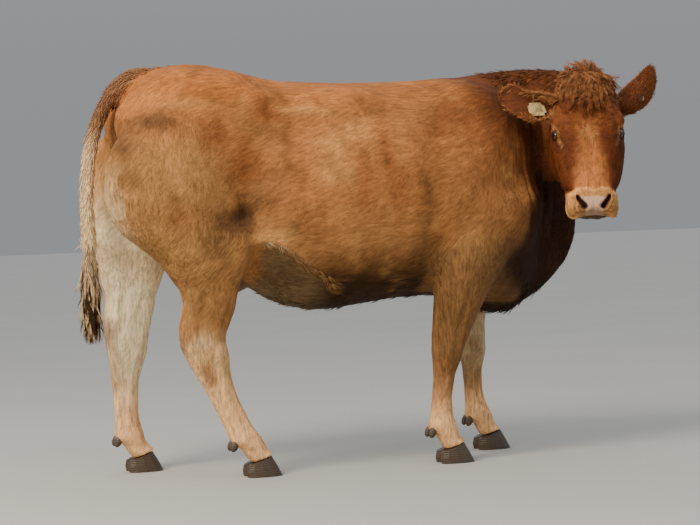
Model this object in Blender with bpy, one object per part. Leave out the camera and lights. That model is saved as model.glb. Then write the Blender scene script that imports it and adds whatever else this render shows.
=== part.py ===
# A life-size standing beef heifer, her head turned to her own right.
# Metres, +Z up. The trunk points to +X, the animal's left is +Y, the floor is Z = 0.
#
# The flesh is modelled whole, from lofted tubes and ellipsoid lumps that a voxel remesh
# fuses, relaxed and reduced, and then parted into named pieces by cuts GAP wide.
# Tail, ears, eyes, ear tags, udder, claws and dewclaws are bodies of their own, fitted
# to the flesh with the same gap.
#
# All tables are in the body's own frame, whose origin is on the floor below the back.
# SHIFT moves it so that the middle of the model's footprint box is the origin.

import math

import bmesh
import bpy
import numpy as np
from mathutils import Matrix, Vector

# ---- driving dimensions -------------------------------------------------------------
SHIFT = Vector((-0.120, 0.075, 0.0))
GAP = 0.0004
BODY_VOXEL = 0.007
HEAD_VOXEL = 0.004
BODY_TRIANGLES = 2540
HEAD_TRIANGLES = 1120

HEAD_POLL = Vector((0.832, -0.280, 1.294))   # top of the skull, between the ears
HEAD_YAW = -106.0                            # where the face looks, degrees from +X
HEAD_PITCH = 60.0                            # long axis of the head below the horizontal

EYE_RADIUS = 0.0195
EYE_AT = (0.196, 0.1020, -0.056)             # in the head's frame, left side
EYE_GAZE = (0.14, 0.80, 0.58)
LID_OPENING = (0.0225, 0.0135, 0.0170)       # radii along the lids, across them, inwards
LID_TILT = -16.0                             # the inner corner hangs, degrees

CORONET_SLOPE = math.radians(20)             # the hoof's upper edge rises to the front
CORONET_HEIGHT = 0.055
CLAW_WIDTH = 0.050
CLEFT = 0.006                                # space between the two claws

BODY_RING = 40
LIMB_RING = 28
TAIL_RING = 8
CLAW_RING = 12

# Trunk sections from the pin bones to the chest:
# x, top, widest height, bottom, half width, squareness above and below.
TRUNK = (
    (-0.728, 1.262, 1.10, 0.960, 0.120, 2.3, 2.2),
    (-0.690, 1.334, 1.13, 0.900, 0.180, 2.4, 2.3),
    (-0.600, 1.372, 1.14, 0.790, 0.228, 2.6, 2.3),
    (-0.475, 1.383, 1.13, 0.700, 0.252, 2.7, 2.2),
    (-0.340, 1.356, 1.10, 0.640, 0.268, 2.8, 2.2),
    (-0.200, 1.322, 1.02, 0.556, 0.292, 2.6, 2.3),
    (-0.050, 1.311, 0.96, 0.532, 0.322, 2.4, 2.3),
    (0.100, 1.309, 0.93, 0.548, 0.324, 2.3, 2.3),
    (0.250, 1.311, 0.92, 0.560, 0.306, 2.2, 2.3),
    (0.400, 1.319, 0.94, 0.556, 0.288, 2.1, 2.3),
    (0.520, 1.325, 0.95, 0.518, 0.262, 2.0, 2.2),
    (0.640, 1.318, 0.94, 0.490, 0.205, 1.9, 2.0),
    (0.720, 1.250, 0.90, 0.590, 0.130, 2.0, 2.0),
)
# Neck sections along its curve: x, y, z, reach above, reach below, half width.
NECK = (
    (0.440, 0.000, 1.020, 0.300, 0.40, 0.185),
    (0.580, 0.000, 1.040, 0.303, 0.42, 0.186),
    (0.690, -0.004, 1.075, 0.280, 0.40, 0.156),
    (0.770, -0.035, 1.115, 0.240, 0.36, 0.132),
    (0.826, -0.095, 1.145, 0.198, 0.28, 0.116),
    (0.852, -0.165, 1.165, 0.160, 0.21, 0.106),
    (0.850, -0.235, 1.175, 0.130, 0.16, 0.098),
)
# Brisket and dewlap: x, y, z, reach to the front, reach to the back, half width.
DEWLAP = (
    (0.440, 0.000, 0.570, 0.030, 0.060, 0.080),
    (0.560, 0.000, 0.553, 0.066, 0.080, 0.092),
    (0.650, 0.000, 0.580, 0.070, 0.080, 0.076),
    (0.737, 0.000, 0.660, 0.088, 0.080, 0.058),
    (0.806, -0.006, 0.755, 0.090, 0.085, 0.050),
    (0.838, -0.022, 0.855, 0.064, 0.085, 0.050),
    (0.836, -0.070, 0.950, 0.042, 0.075, 0.054),
)
# The line of each limb: top, thigh or arm, stifle or elbow, gaskin or forearm, hock or
# knee, cannon, fetlock, coronet, and a point inside the hoof.
HIND_LINES = {
    "right": ((-0.545, -0.150, 1.130), (-0.592, -0.195, 0.930), (-0.508, -0.205, 0.720),
              (-0.479, -0.198, 0.590), (-0.507, -0.190, 0.450), (-0.447, -0.187, 0.280),
              (-0.374, -0.185, 0.130), (-0.325, -0.185, 0.066), (-0.297, -0.185, 0.020)),
    "left": ((-0.545, 0.150, 1.130), (-0.600, 0.195, 0.930), (-0.655, 0.205, 0.730),
             (-0.668, 0.198, 0.600), (-0.688, 0.190, 0.465), (-0.700, 0.187, 0.300),
             (-0.695, 0.185, 0.132), (-0.652, 0.185, 0.066), (-0.620, 0.185, 0.020)),
}
FORE_LINES = {
    "right": ((0.560, -0.205, 0.900), (0.455, -0.205, 0.740), (0.398, -0.190, 0.590),
              (0.366, -0.180, 0.474), (0.343, -0.172, 0.370), (0.327, -0.167, 0.260),
              (0.320, -0.165, 0.132), (0.356, -0.165, 0.066), (0.384, -0.165, 0.020)),
    "left": ((0.600, 0.205, 0.900), (0.562, 0.205, 0.740), (0.540, 0.190, 0.590),
             (0.537, 0.180, 0.470), (0.551, 0.172, 0.360), (0.550, 0.167, 0.255),
             (0.565, 0.165, 0.130), (0.605, 0.165, 0.066), (0.633, 0.165, 0.020)),
}
# Place along the limb's line, then reach to the front, to the back and to each side.
HIND_PROFILE = (
    (0.0, 0.200, 0.190, 0.130),
    (0.6, 0.215, 0.225, 0.145),
    (1.0, 0.215, 0.238, 0.142),
    (1.5, 0.185, 0.205, 0.125),
    (2.0, 0.136, 0.142, 0.100),
    (2.5, 0.112, 0.114, 0.078),
    (3.0, 0.094, 0.098, 0.061),
    (3.5, 0.084, 0.089, 0.053),
    (3.85, 0.079, 0.087, 0.052),
    (4.1, 0.071, 0.079, 0.050),
    (4.5, 0.055, 0.064, 0.042),
    (5.0, 0.046, 0.050, 0.037),
    (5.6, 0.044, 0.046, 0.038),
    (6.0, 0.047, 0.050, 0.046),
    (6.5, 0.040, 0.040, 0.046),
    (7.0, 0.046, 0.042, 0.050),
    (8.0, 0.046, 0.042, 0.050),
)
FORE_PROFILE = (
    (0.0, 0.130, 0.150, 0.090),
    (1.0, 0.125, 0.140, 0.094),
    (1.5, 0.112, 0.117, 0.085),
    (2.0, 0.100, 0.098, 0.074),
    (2.5, 0.088, 0.084, 0.064),
    (3.0, 0.076, 0.077, 0.056),
    (3.6, 0.061, 0.063, 0.052),
    (4.0, 0.054, 0.055, 0.052),
    (4.3, 0.048, 0.048, 0.046),
    (4.7, 0.039, 0.041, 0.037),
    (5.3, 0.036, 0.040, 0.034),
    (6.0, 0.047, 0.050, 0.046),
    (6.5, 0.039, 0.039, 0.046),
    (7.0, 0.046, 0.042, 0.051),
    (8.0, 0.046, 0.042, 0.051),
)
# Muscles and bones that stand out, the same on both sides of the body:
# x, y, z, radii, and tilt about the side axis in degrees.
BODY_LUMPS = {
    "hook_bone": (-0.285, 0.212, 1.232, 0.100, 0.066, 0.066, 0),
    "rump": (-0.480, 0.135, 1.215, 0.240, 0.140, 0.150, 4),
    "thurl": (-0.570, 0.190, 1.110, 0.160, 0.120, 0.170, 0),
    "pin_bone": (-0.700, 0.100, 1.185, 0.070, 0.080, 0.095, 0),
    "round": (-0.650, 0.200, 0.985, 0.180, 0.125, 0.220, 8),
    "stifle": (-0.405, 0.215, 0.800, 0.115, 0.100, 0.175, 14),
    "flank": (-0.190, 0.215, 0.860, 0.240, 0.095, 0.190, 0),
    "loin_edge": (-0.060, 0.150, 1.205, 0.280, 0.125, 0.090, 0),
    "shoulder_blade": (0.480, 0.150, 1.060, 0.190, 0.115, 0.250, -16),
    "shoulder_point": (0.590, 0.165, 0.860, 0.120, 0.095, 0.170, 0),
    "triceps": (0.440, 0.200, 0.810, 0.155, 0.090, 0.170, 30),
}

# ---- head, in its own frame: +X poll to muzzle, +Y its left, +Z out of the forehead --
# x, y, z of the widest line, reach up, reach down, half width, squareness up and down.
HEAD = (
    (-0.060, 0, -0.100, 0.070, 0.085, 0.080, 2.2, 2.0),
    (-0.025, 0, -0.090, 0.110, 0.110, 0.094, 2.2, 2.0),
    (0.015, 0, -0.082, 0.118, 0.130, 0.104, 2.2, 2.0),
    (0.065, 0, -0.080, 0.100, 0.150, 0.114, 2.4, 2.1),
    (0.120, 0, -0.080, 0.084, 0.155, 0.124, 2.7, 2.3),
    (0.180, 0, -0.082, 0.076, 0.145, 0.128, 2.8, 2.5),
    (0.235, 0, -0.088, 0.074, 0.128, 0.125, 2.5, 2.6),
    (0.290, 0, -0.095, 0.074, 0.108, 0.117, 2.2, 2.6),
    (0.345, 0, -0.100, 0.070, 0.086, 0.104, 2.0, 2.6),
    (0.400, 0, -0.102, 0.066, 0.068, 0.089, 2.1, 2.5),
    (0.445, 0, -0.102, 0.062, 0.057, 0.088, 2.3, 2.4),
    (0.469, 0, -0.102, 0.055, 0.050, 0.086, 2.4, 2.3),
    (0.487, 0, -0.102, 0.041, 0.040, 0.074, 2.4, 2.3),
)
# x, y, z, radii and tilt about the head's side axis; these come on both sides.
HEAD_LUMPS = {
    "brow": (0.158, 0.104, -0.046, 0.052, 0.026, 0.026, 8),
    "eye_socket": (0.200, 0.108, -0.078, 0.040, 0.020, 0.034, 8),
    "cheek": (0.205, 0.084, -0.150, 0.115, 0.048, 0.075, 22),
    "jaw_angle": (0.115, 0.060, -0.205, 0.060, 0.038, 0.050, 10),
    "nostril_rim": (0.464, 0.052, -0.072, 0.028, 0.026, 0.026, 0),
    "lip": (0.438, 0.064, -0.128, 0.048, 0.026, 0.028, 0),
    "ear_root": (0.050, 0.088, -0.070, 0.042, 0.036, 0.036, 0),
}
HEAD_MIDDLE_LUMPS = {
    "chin": (0.428, 0, -0.160, 0.044, 0.046, 0.023, -6),
    "throat": (0.040, 0, -0.190, 0.090, 0.070, 0.085, 0),
    "topknot": (-0.002, 0.046, -0.050, 0.046, 0.062, 0.078, 0),
}
# The planes round the head: behind it, below it and at its sides; then the lower jaw's.
HEAD_CUTS = (((-0.030, 0, 0), (0.926, 0, 0.377)), ((0, 0, -0.270), (0, 0, 1)),
             ((0, 0.140, 0), (0, -1, 0)), ((0, -0.140, 0), (0, 1, 0)))
MOUTH_CUT = ((0.500, 0, -0.134), (-0.128, 0, -0.992))
JAW_CUT = ((0.095, 0, -0.200), (0.990, 0, -0.140))

# ---- the planes that part the body --------------------------------------------------
NECK_CUT = ((0.680, 0, 1.050), (0.932, 0, 0.361))
THIGH_CUT = ((0, 0.200, 0.860), (0, 0.707, -0.707))      # left side
THIGH_FRONT = ((-0.318, 0, 0.830), (-1.0, 0, -0.12))
THIGH_INNER = 0.062
ARM_CUT = ((0, 0.210, 0.672), (0, 0.707, -0.707))        # left side
ARM_BACK = {"left": 0.400, "right": 0.262}
ARM_INNER = 0.090
HOCK_CUT_HEIGHT = 0.585
KNEE_CUT_HEIGHT = 0.440

# Tail: x, y, z, half thickness, half width.
TAIL = (
    (-0.600, 0.000, 1.350, 0.032, 0.044),
    (-0.668, 0.000, 1.342, 0.036, 0.046),
    (-0.727, 0.000, 1.306, 0.034, 0.044),
    (-0.777, -0.002, 1.232, 0.031, 0.040),
    (-0.816, -0.004, 1.140, 0.029, 0.036),
    (-0.838, -0.006, 1.020, 0.028, 0.034),
    (-0.843, -0.008, 0.890, 0.028, 0.034),
    (-0.841, -0.010, 0.770, 0.030, 0.036),
    (-0.841, -0.012, 0.660, 0.034, 0.040),
    (-0.843, -0.012, 0.570, 0.037, 0.044),
    (-0.842, -0.010, 0.500, 0.032, 0.038),
    (-0.836, -0.008, 0.452, 0.010, 0.014),
)
SWITCH_HEIGHT = 0.780

# Ears: base in the head's frame (left side), direction, the way the opening faces,
# length, half width, and how far its middle hangs below a straight line. Across an ear,
# + is its lower edge.
EARS = {
    "left": ((0.070, 0.090, -0.075), (-0.74, 0.72, -0.02), (-0.40, 0.20, -0.90), 0.222, 0.056,
             0.018),
    "right": ((0.070, -0.088, -0.056), (0.06, -0.90, 0.40), (0.36, 0.0, 0.90), 0.228, 0.070,
              0.0),
}
EAR_THICKNESS = 0.0075
EAR_CUP = 0.048
EAR_SAG = 0.14
TAG_SIZE = (0.066, 0.050, 0.0022)
# Place of each tag on its ear: along it (0 to 1), across it (-1 to 1), turn in degrees.
TAGS = {"left": (0.44, 0.56, 10.0), "right": (0.42, 0.46, 12.0)}

UDDER = (-0.395, 0.0, 0.655, 0.125, 0.078, 0.062)
TEATS = ((-0.372, 0.042), (-0.372, -0.042), (-0.438, 0.038), (-0.438, -0.038))


# ---- small tools --------------------------------------------------------------------
def clear_scene():
    for old in list(bpy.data.objects):
        bpy.data.objects.remove(old, do_unlink=True)


def material(name, colour, roughness):
    """A Principled material; the colour is linear RGB."""
    made = bpy.data.materials.new(name)
    made.use_nodes = True
    shader = made.node_tree.nodes["Principled BSDF"]
    shader.inputs["Base Color"].default_value = (*colour, 1.0)
    shader.inputs["Roughness"].default_value = roughness
    shader.inputs["Metallic"].default_value = 0.0
    made.diffuse_color = (*colour, 1.0)
    return made


def scratch_object(mesh):
    made = bpy.data.objects.new("scratch", mesh)
    bpy.context.scene.collection.objects.link(made)
    return made


def evaluated(thing):
    """The mesh as the modifiers leave it; the object itself is removed."""
    graph = bpy.context.evaluated_depsgraph_get()
    mesh = bpy.data.meshes.new_from_object(thing.evaluated_get(graph), depsgraph=graph)
    bpy.data.objects.remove(thing, do_unlink=True)
    return mesh


def boolean(mesh, cutter, operation):
    """A new mesh: the first one joined with, cut by or kept inside the second."""
    thing = scratch_object(mesh.copy())
    tool = scratch_object(cutter)
    change = thing.modifiers.new("change", "BOOLEAN")
    change.operation = operation
    change.solver = "EXACT"
    change.object = tool
    made = evaluated(thing)
    bpy.data.objects.remove(tool, do_unlink=True)
    return made


def largest(mesh):
    """The mesh without the loose crumbs a cut may leave."""
    bm = bmesh.new()
    bm.from_mesh(mesh)
    left = set(bm.faces)
    bodies = []
    while left:
        body, edge = set(), [left.pop()]
        while edge:
            face = edge.pop()
            body.add(face)
            near = {other for e in face.edges if len(e.link_faces) == 2
                    for other in e.link_faces} & left
            left -= near
            edge += near
        bodies.append(body)
    keep = max(bodies, key=len)
    crumbs = [face for face in bm.faces if face not in keep]
    bmesh.ops.delete(bm, geom=crumbs, context="FACES")
    return mesh_of(bm)


def grown(mesh, by=GAP):
    """The mesh pushed out along its normals, to cut a neighbour with a gap."""
    thing = scratch_object(mesh.copy())
    push = thing.modifiers.new("push", "DISPLACE")
    push.strength = by
    push.mid_level = 0.0
    return evaluated(thing)


def mesh_of(bm):
    mesh = bpy.data.meshes.new("mesh")
    bm.to_mesh(mesh)
    bm.free()
    return mesh


def gather(pieces):
    """One mesh that holds every bmesh given."""
    whole = bmesh.new()
    for piece in pieces:
        mesh = mesh_of(piece)
        whole.from_mesh(mesh)
        bpy.data.meshes.remove(mesh)
    return mesh_of(whole)


def region(planes, by=0.0):
    """A convex block 6 m wide, trimmed by planes (point, normal into the block) and
    grown by the amount given."""
    bm = bmesh.new()
    bmesh.ops.create_cube(bm, size=6.0)
    for point, normal in planes:
        normal = Vector(normal).normalized()
        parts = bm.verts[:] + bm.edges[:] + bm.faces[:]
        cut = bmesh.ops.bisect_plane(bm, geom=parts, plane_co=Vector(point) - normal * by,
                                     plane_no=-normal, clear_outer=True)
        edges = [part for part in cut["geom_cut"] if isinstance(part, bmesh.types.BMEdge)]
        bmesh.ops.contextual_create(bm, geom=edges)
    bmesh.ops.recalc_face_normals(bm, faces=bm.faces)
    return mesh_of(bm)


def parted(mesh, planes):
    """The piece of the mesh inside the planes, and the rest, a gap away from it."""
    piece = boolean(mesh, region(planes), "INTERSECT")
    rest = boolean(mesh, region(planes, GAP), "DIFFERENCE")
    return piece, rest


def smooth_rows(rows, count):
    """Catmull-Rom rows through the ones given, evenly spread over their number."""
    rows = np.array(rows, float)
    last = len(rows) - 1
    wide = np.vstack([2 * rows[0] - rows[1], rows, 2 * rows[-1] - rows[-2]])
    made = []
    for place in np.linspace(0, last, count):
        i = min(int(place), last - 1)
        t = place - i
        p0, p1, p2, p3 = wide[i:i + 4]
        made.append(0.5 * (2 * p1 + (p2 - p0) * t + (2 * p0 - 5 * p1 + 4 * p2 - p3) * t ** 2
                           + (3 * p1 - p0 - 3 * p2 + p3) * t ** 3))
    return np.array(made)


def tube(rows, reference, ring, keep=(1, 1, 1)):
    """A closed loft. A row is x, y, z, reach along the reference direction, reach
    against it, half width and, if given, squareness on those two halves. keep drops
    axes from the line's direction: (1, 1, 0) gives upright rings, (0, 0, 1) level ones."""
    centres = np.array([row[:3] for row in rows])
    along = np.gradient(centres, axis=0) * keep
    bm = bmesh.new()
    rings = []
    for row, centre, tangent in zip(rows, centres, along):
        tangent = Vector(tangent).normalized()
        ahead = Vector(reference)
        ahead = (ahead - ahead.dot(tangent) * tangent).normalized()
        aside = tangent.cross(ahead)
        front, back, side = row[3:6]
        square = row[6:8] if len(row) > 6 else (2.0, 2.0)
        loop = []
        for k in range(ring):
            angle = 2 * math.pi * k / ring
            c, s = math.cos(angle), math.sin(angle)
            reach, power = (front, square[0]) if s >= 0 else (back, square[1])
            u = side * math.copysign(abs(c) ** (2 / power), c)
            w = reach * math.copysign(abs(s) ** (2 / power), s)
            loop.append(bm.verts.new(Vector(centre) + aside * u + ahead * w))
        rings.append(loop)
    skin_rings(bm, rings)
    return bm


def skin_rings(bm, rings):
    """Faces between neighbouring rings, and one over each end."""
    count = len(rings[0])
    for one, two in zip(rings, rings[1:]):
        for k in range(count):
            bm.faces.new((one[k], one[(k + 1) % count], two[(k + 1) % count], two[k]))
    bm.faces.new(rings[0][::-1])
    bm.faces.new(rings[-1])
    bmesh.ops.recalc_face_normals(bm, faces=bm.faces)


def lump(row, detail=3):
    """An ellipsoid from x, y, z, radii and tilt about the side axis."""
    x, y, z, rx, ry, rz, tilt = row
    bm = bmesh.new()
    bmesh.ops.create_icosphere(bm, subdivisions=detail, radius=1.0)
    place = Matrix.Translation((x, y, z)) @ Matrix.Rotation(math.radians(tilt), 4, "Y")
    bmesh.ops.transform(bm, matrix=place @ Matrix.Diagonal((rx, ry, rz, 1.0)), verts=bm.verts)
    return bm


def both_sides(row):
    x, y, z, *others = row
    return ((x, y, z, *others), (x, -y, z, *others))


def head_matrix():
    """Head frame to body frame."""
    return (Matrix.Translation(HEAD_POLL) @ Matrix.Rotation(math.radians(HEAD_YAW), 4, "Z")
            @ Matrix.Rotation(math.radians(HEAD_PITCH), 4, "Y"))


def head_plane(plane, flip=False):
    """A plane of the head's frame in the body's frame."""
    place = head_matrix()
    point, normal = plane
    turned = place.to_3x3() @ Vector(normal)
    return place @ Vector(point), -turned if flip else turned


def side_plane(plane, sign):
    """A plane given for the left side, for the side of that sign."""
    point, normal = plane
    return (point[0], point[1] * sign, point[2]), (normal[0], normal[1] * sign, normal[2])


# ---- clay ---------------------------------------------------------------------------
def head_clay():
    pieces = [tube(smooth_rows(HEAD, 48), (0, 0, 1), BODY_RING)]
    rows = [side for row in HEAD_LUMPS.values() for side in both_sides(row)]
    pieces += [lump(row) for row in rows + list(HEAD_MIDDLE_LUMPS.values())]
    place = head_matrix()
    for piece in pieces:
        bmesh.ops.transform(piece, matrix=place, verts=piece.verts)
    return pieces


def neck_clay():
    return [tube(smooth_rows(NECK, 40), (0, 0, 1), BODY_RING, (1, 1, 0))]


def trunk_clay():
    rows = [(x, 0.0, wide, top - wide, wide - low, half, above, below)
            for x, top, wide, low, half, above, below in TRUNK]
    pieces = [tube(smooth_rows(rows, 60), (0, 0, 1), BODY_RING, (1, 0, 0))]
    pieces.append(tube(smooth_rows(DEWLAP, 30), (0.75, 0, -0.66), LIMB_RING))
    pieces += [lump(side) for row in BODY_LUMPS.values() for side in both_sides(row)]
    return pieces


def limb_clay(line, profile):
    """A limb of level rings, stretched where its line leans so that it keeps its girth."""
    places = np.linspace(0, len(line) - 1, 65)
    table = np.array(profile)
    front, back, side = (np.interp(places, table[:, 0], table[:, k]) for k in (1, 2, 3))
    points = np.array(smooth_rows(line, 65))
    run = np.gradient(points, axis=0)
    stretch = np.minimum(np.hypot(1.0, run[:, 0] / run[:, 2]), 1.3)
    rows = np.column_stack([points, front * stretch, back * stretch, side])
    return tube(rows, (1, 0, 0), LIMB_RING, (0, 0, 1))


def fused(pieces, voxel, triangles, softness, passes):
    """One closed skin over the clay: voxel remesh, relax by the softness at each
    point (0 to 1) and reduce to about the triangles asked for."""
    clay = scratch_object(gather(pieces))
    fuse = clay.modifiers.new("fuse", "REMESH")
    fuse.mode = "VOXEL"
    fuse.voxel_size = voxel
    soft = scratch_object(evaluated(clay))
    group = soft.vertex_groups.new(name="soft")
    for vertex in soft.data.vertices:
        group.add([vertex.index], softness(vertex.co), "REPLACE")
    for k in range(passes):
        relax = soft.modifiers.new("relax%d" % k, "SMOOTH")
        relax.factor = 0.5
        relax.iterations = 20
        relax.vertex_group = "soft"
    reduce = soft.modifiers.new("reduce", "DECIMATE")
    reduce.ratio = triangles / (2 * len(soft.data.polygons))
    return evaluated(soft)


def ramp(value, low, high):
    t = min(max((value - low) / (high - low), 0.0), 1.0)
    return t * t * (3 - 2 * t)


def body_softness(at):
    """Limbs keep their bones; the trunk is relaxed most."""
    return 0.14 + 0.86 * ramp(at.z, 0.50, 0.80)


def head_softness(at):
    """The hair over the poll is relaxed more than the face."""
    along = (head_matrix().inverted() @ at).x
    return 1.0 - 0.65 * ramp(along, 0.06, 0.16)


def flesh_meshes():
    """The body down to the neck plane, and the head beyond it."""
    limbs = [limb_clay(line, HIND_PROFILE) for line in HIND_LINES.values()]
    limbs += [limb_clay(line, FORE_PROFILE) for line in FORE_LINES.values()]
    body = fused(trunk_clay() + neck_clay() + head_clay() + limbs,
                 BODY_VOXEL, BODY_TRIANGLES, body_softness, 9)
    head = fused(neck_clay() + head_clay(), HEAD_VOXEL, HEAD_TRIANGLES, head_softness, 1)
    cuts = [head_plane(cut) for cut in HEAD_CUTS]
    body = boolean(body, region(cuts, GAP), "DIFFERENCE")
    head = boolean(head, region(cuts), "INTERSECT")
    return body, head


# ---- pieces of the body -------------------------------------------------------------
def coronet_plane(line, by=0.0):
    """The plane of the hoof's upper edge: normal up and back."""
    x, y, _ = line[7]
    normal = Vector((-math.sin(CORONET_SLOPE), 0, math.cos(CORONET_SLOPE)))
    return Vector((x - 0.004, y, CORONET_HEIGHT)) + normal * by, normal


def limb_pieces(body, kind, side, line):
    """Cuts one limb off the body: its upper piece, its lower piece and the body left."""
    sign = 1 if side == "left" else -1
    if kind == "hind":
        low, inner = HOCK_CUT_HEIGHT, THIGH_INNER
        planes = [side_plane(THIGH_CUT, sign), THIGH_FRONT]
    else:
        low, inner = KNEE_CUT_HEIGHT, ARM_INNER
        planes = [side_plane(ARM_CUT, sign), ((ARM_BACK[side], 0, 0), (1, 0, 0))]
    limb, body = parted(body, planes + [((0, inner * sign, 0), (0, sign, 0))])
    lower, upper = parted(limb, [((0, 0, low), (0, 0, -1))])
    lower = boolean(lower, region([coronet_plane(line, GAP)]), "INTERSECT")
    return upper, lower, body


def claw(line, inner):
    """One claw: flat on the floor, pointed at the toe, its upper edge on the coronet."""
    x, y, _ = line[7]
    point, normal = coronet_plane(line)
    side = -1.0 if y > 0 else 1.0
    side = side if inner else -side
    bm = bmesh.new()
    rings = []
    for level in (0.0, 0.10, 0.50, 1.0):
        back = -0.052 - 0.004 * math.sin(math.pi * level)
        front = 0.068 - 0.036 * level
        width = CLAW_WIDTH * (1.0 - 0.05 * level + (0.03 if level in (0.10, 0.50) else 0))
        loop = []
        for k in range(CLAW_RING):
            angle = 2 * math.pi * k / CLAW_RING
            c, s = math.cos(angle), math.sin(angle)
            along = (front + back) / 2 + (front - back) / 2 * math.copysign(abs(c) ** 0.85, c)
            toe = max(0.0, c) ** 2
            middle = CLEFT / 2 + width / 2 - 0.006 * toe
            across = middle + (width / 2 - 0.010 * toe) * math.copysign(abs(s) ** 0.8, s)
            across = max(across, CLEFT / 2)
            top = point.z + (x + along - point.x) * math.tan(CORONET_SLOPE)
            loop.append(bm.verts.new((x + along, y + side * across, level * top)))
        rings.append(loop)
    skin_rings(bm, rings)
    return mesh_of(bm)


def dewclaws(line, flesh):
    """The two small claws behind the fetlock, outer and inner."""
    x, y, z = line[6]
    made = []
    for across in (-0.024, 0.024):
        body = lump((x - 0.043, y + across, z - 0.024, 0.013, 0.011, 0.021, 24), 2)
        made.append(largest(boolean(mesh_of(body), grown(flesh, 2 * GAP), "DIFFERENCE")))
    outer, inner = made if y < 0 else made[::-1]
    return outer, inner


def tail_meshes(body):
    rows = smooth_rows(TAIL, 26)
    rows = [(x, y, z, thick, thick, wide) for x, y, z, thick, wide in rows]
    tail = mesh_of(tube(rows, (-1, 0, 0.3), TAIL_RING))
    tail = largest(boolean(tail, grown(body, 2 * GAP), "DIFFERENCE"))
    switch, tail = parted(tail, [((0, 0, SWITCH_HEIGHT), (0, 0, -1))])
    return tail, switch


def udder_mesh(body):
    x, y, z, rx, ry, rz = UDDER
    pieces = [lump((x, y, z, rx, ry, rz, -6))]
    for tx, ty in TEATS:
        pieces.append(tube([(tx, ty, z - 0.030, 0.013, 0.013, 0.013),
                            (tx, ty, z - 0.064, 0.010, 0.010, 0.010),
                            (tx, ty, z - 0.082, 0.008, 0.008, 0.008)], (1, 0, 0), 10))
    made = fused(pieces, 0.005, 260, lambda at: 0.4, 1)
    return largest(boolean(made, grown(body, 2 * GAP), "DIFFERENCE"))


def ear_frame(side):
    """Ear frame to body frame: X along the ear, Y across it, Z out of its opening."""
    base, along, facing = EARS[side][:3]
    along = Vector(along).normalized()
    facing = Vector(facing)
    facing = (facing - facing.dot(along) * along).normalized()
    across = facing.cross(along)
    turn = Matrix((along, across, facing)).transposed().to_4x4()
    return head_matrix() @ Matrix.Translation(base) @ turn


def ear_point(side, along, across, inner):
    """A point on the outer or the inner face of the cupped ear, in the ear's frame."""
    length, half, hang = EARS[side][3:]
    if along < 0.45:
        wide = half * (0.50 + 0.50 * math.sin(math.pi / 2 * along / 0.45))
    else:
        wide = half * max(math.cos(math.pi / 2 * (along - 0.45) / 0.56), 0.0) ** 0.55
    cup = EAR_CUP * (1.0 - 0.82 * along)
    bend = -0.022 * along ** 2
    wall = EAR_THICKNESS * (1.0 - 0.35 * along)
    if inner:
        wide, bend = max(wide - wall, 0.004), bend + wall
    y = wide * (across + EAR_SAG * across ** 2) + 4.0 * hang * along * (1.0 - along)
    return Vector((along * length, y, bend + cup * across ** 2))


def ear_mesh(side):
    """A leaf of nearly even thickness, deeply cupped at its root and flatter at its tip."""
    bm = bmesh.new()
    rings = []
    for along in (0.00, 0.12, 0.26, 0.40, 0.54, 0.68, 0.81, 0.91, 0.98):
        outer = [ear_point(side, along, k / 4, False) for k in range(-4, 5)]
        inner = [ear_point(side, along, k / 3, True) for k in range(3, -4, -1)]
        rings.append([bm.verts.new(at) for at in outer + inner])
    skin_rings(bm, rings)
    bmesh.ops.triangulate(bm, faces=bm.faces)
    bmesh.ops.transform(bm, matrix=ear_frame(side), verts=bm.verts)
    return mesh_of(bm)


def tag_matrix(side):
    """Tag frame to body frame: its stud runs along Z, through the ear."""
    along, across, turn = TAGS[side]
    place = ear_frame(side)
    inner = place @ ear_point(side, along, across, True)
    outer = place @ ear_point(side, along, across, False)
    beside = place @ ear_point(side, along, across + 0.1, False)
    ahead = place.to_3x3() @ Vector((1, 0, 0))
    normal = ahead.cross(beside - outer).normalized()
    ahead = (ahead - ahead.dot(normal) * normal).normalized()
    turned = Matrix((ahead, normal.cross(ahead), normal)).transposed().to_4x4()
    middle = (inner + outer) / 2
    return Matrix.Translation(middle) @ turned @ Matrix.Rotation(math.radians(turn), 4, "Z")


def disc(radius, low, high, sides=10):
    bm = bmesh.new()
    bmesh.ops.create_cone(bm, cap_ends=True, segments=sides, radius1=radius, radius2=radius,
                          depth=high - low,
                          matrix=Matrix.Translation((0, 0, (low + high) / 2)))
    return bm


def tag_mesh(side):
    """A plate with round corners before the ear, a stud and a button behind it."""
    half = EAR_THICKNESS / 2
    plate_low = half + 0.0090
    bm = bmesh.new()
    bmesh.ops.create_cube(bm, size=1.0)
    length, width, thick = TAG_SIZE
    move = Matrix.Translation((0.0, 0.006, plate_low + thick / 2))
    bmesh.ops.transform(bm, matrix=move @ Matrix.Diagonal((length, width, thick, 1.0)),
                        verts=bm.verts)
    upright = [edge for edge in bm.edges
               if abs(edge.verts[0].co.z - edge.verts[1].co.z) > thick / 2]
    bmesh.ops.bevel(bm, geom=upright, offset=0.010, segments=3, affect="EDGES")
    plate = mesh_of(bm)
    stud = mesh_of(disc(0.0035, -half - 0.004, plate_low + thick / 2, 10))
    button = mesh_of(disc(0.013, -half - 0.006, -half - 0.0035))
    made = boolean(boolean(plate, stud, "UNION"), button, "UNION")
    made.transform(tag_matrix(side))
    return made


def eye_mesh(sign, radius, detail):
    x, y, z = EYE_AT
    bm = bmesh.new()
    bmesh.ops.create_uvsphere(bm, u_segments=detail, v_segments=detail // 2, radius=radius)
    place = head_matrix() @ Matrix.Translation((x, y * sign, z))
    bmesh.ops.transform(bm, matrix=place, verts=bm.verts)
    return mesh_of(bm)


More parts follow.
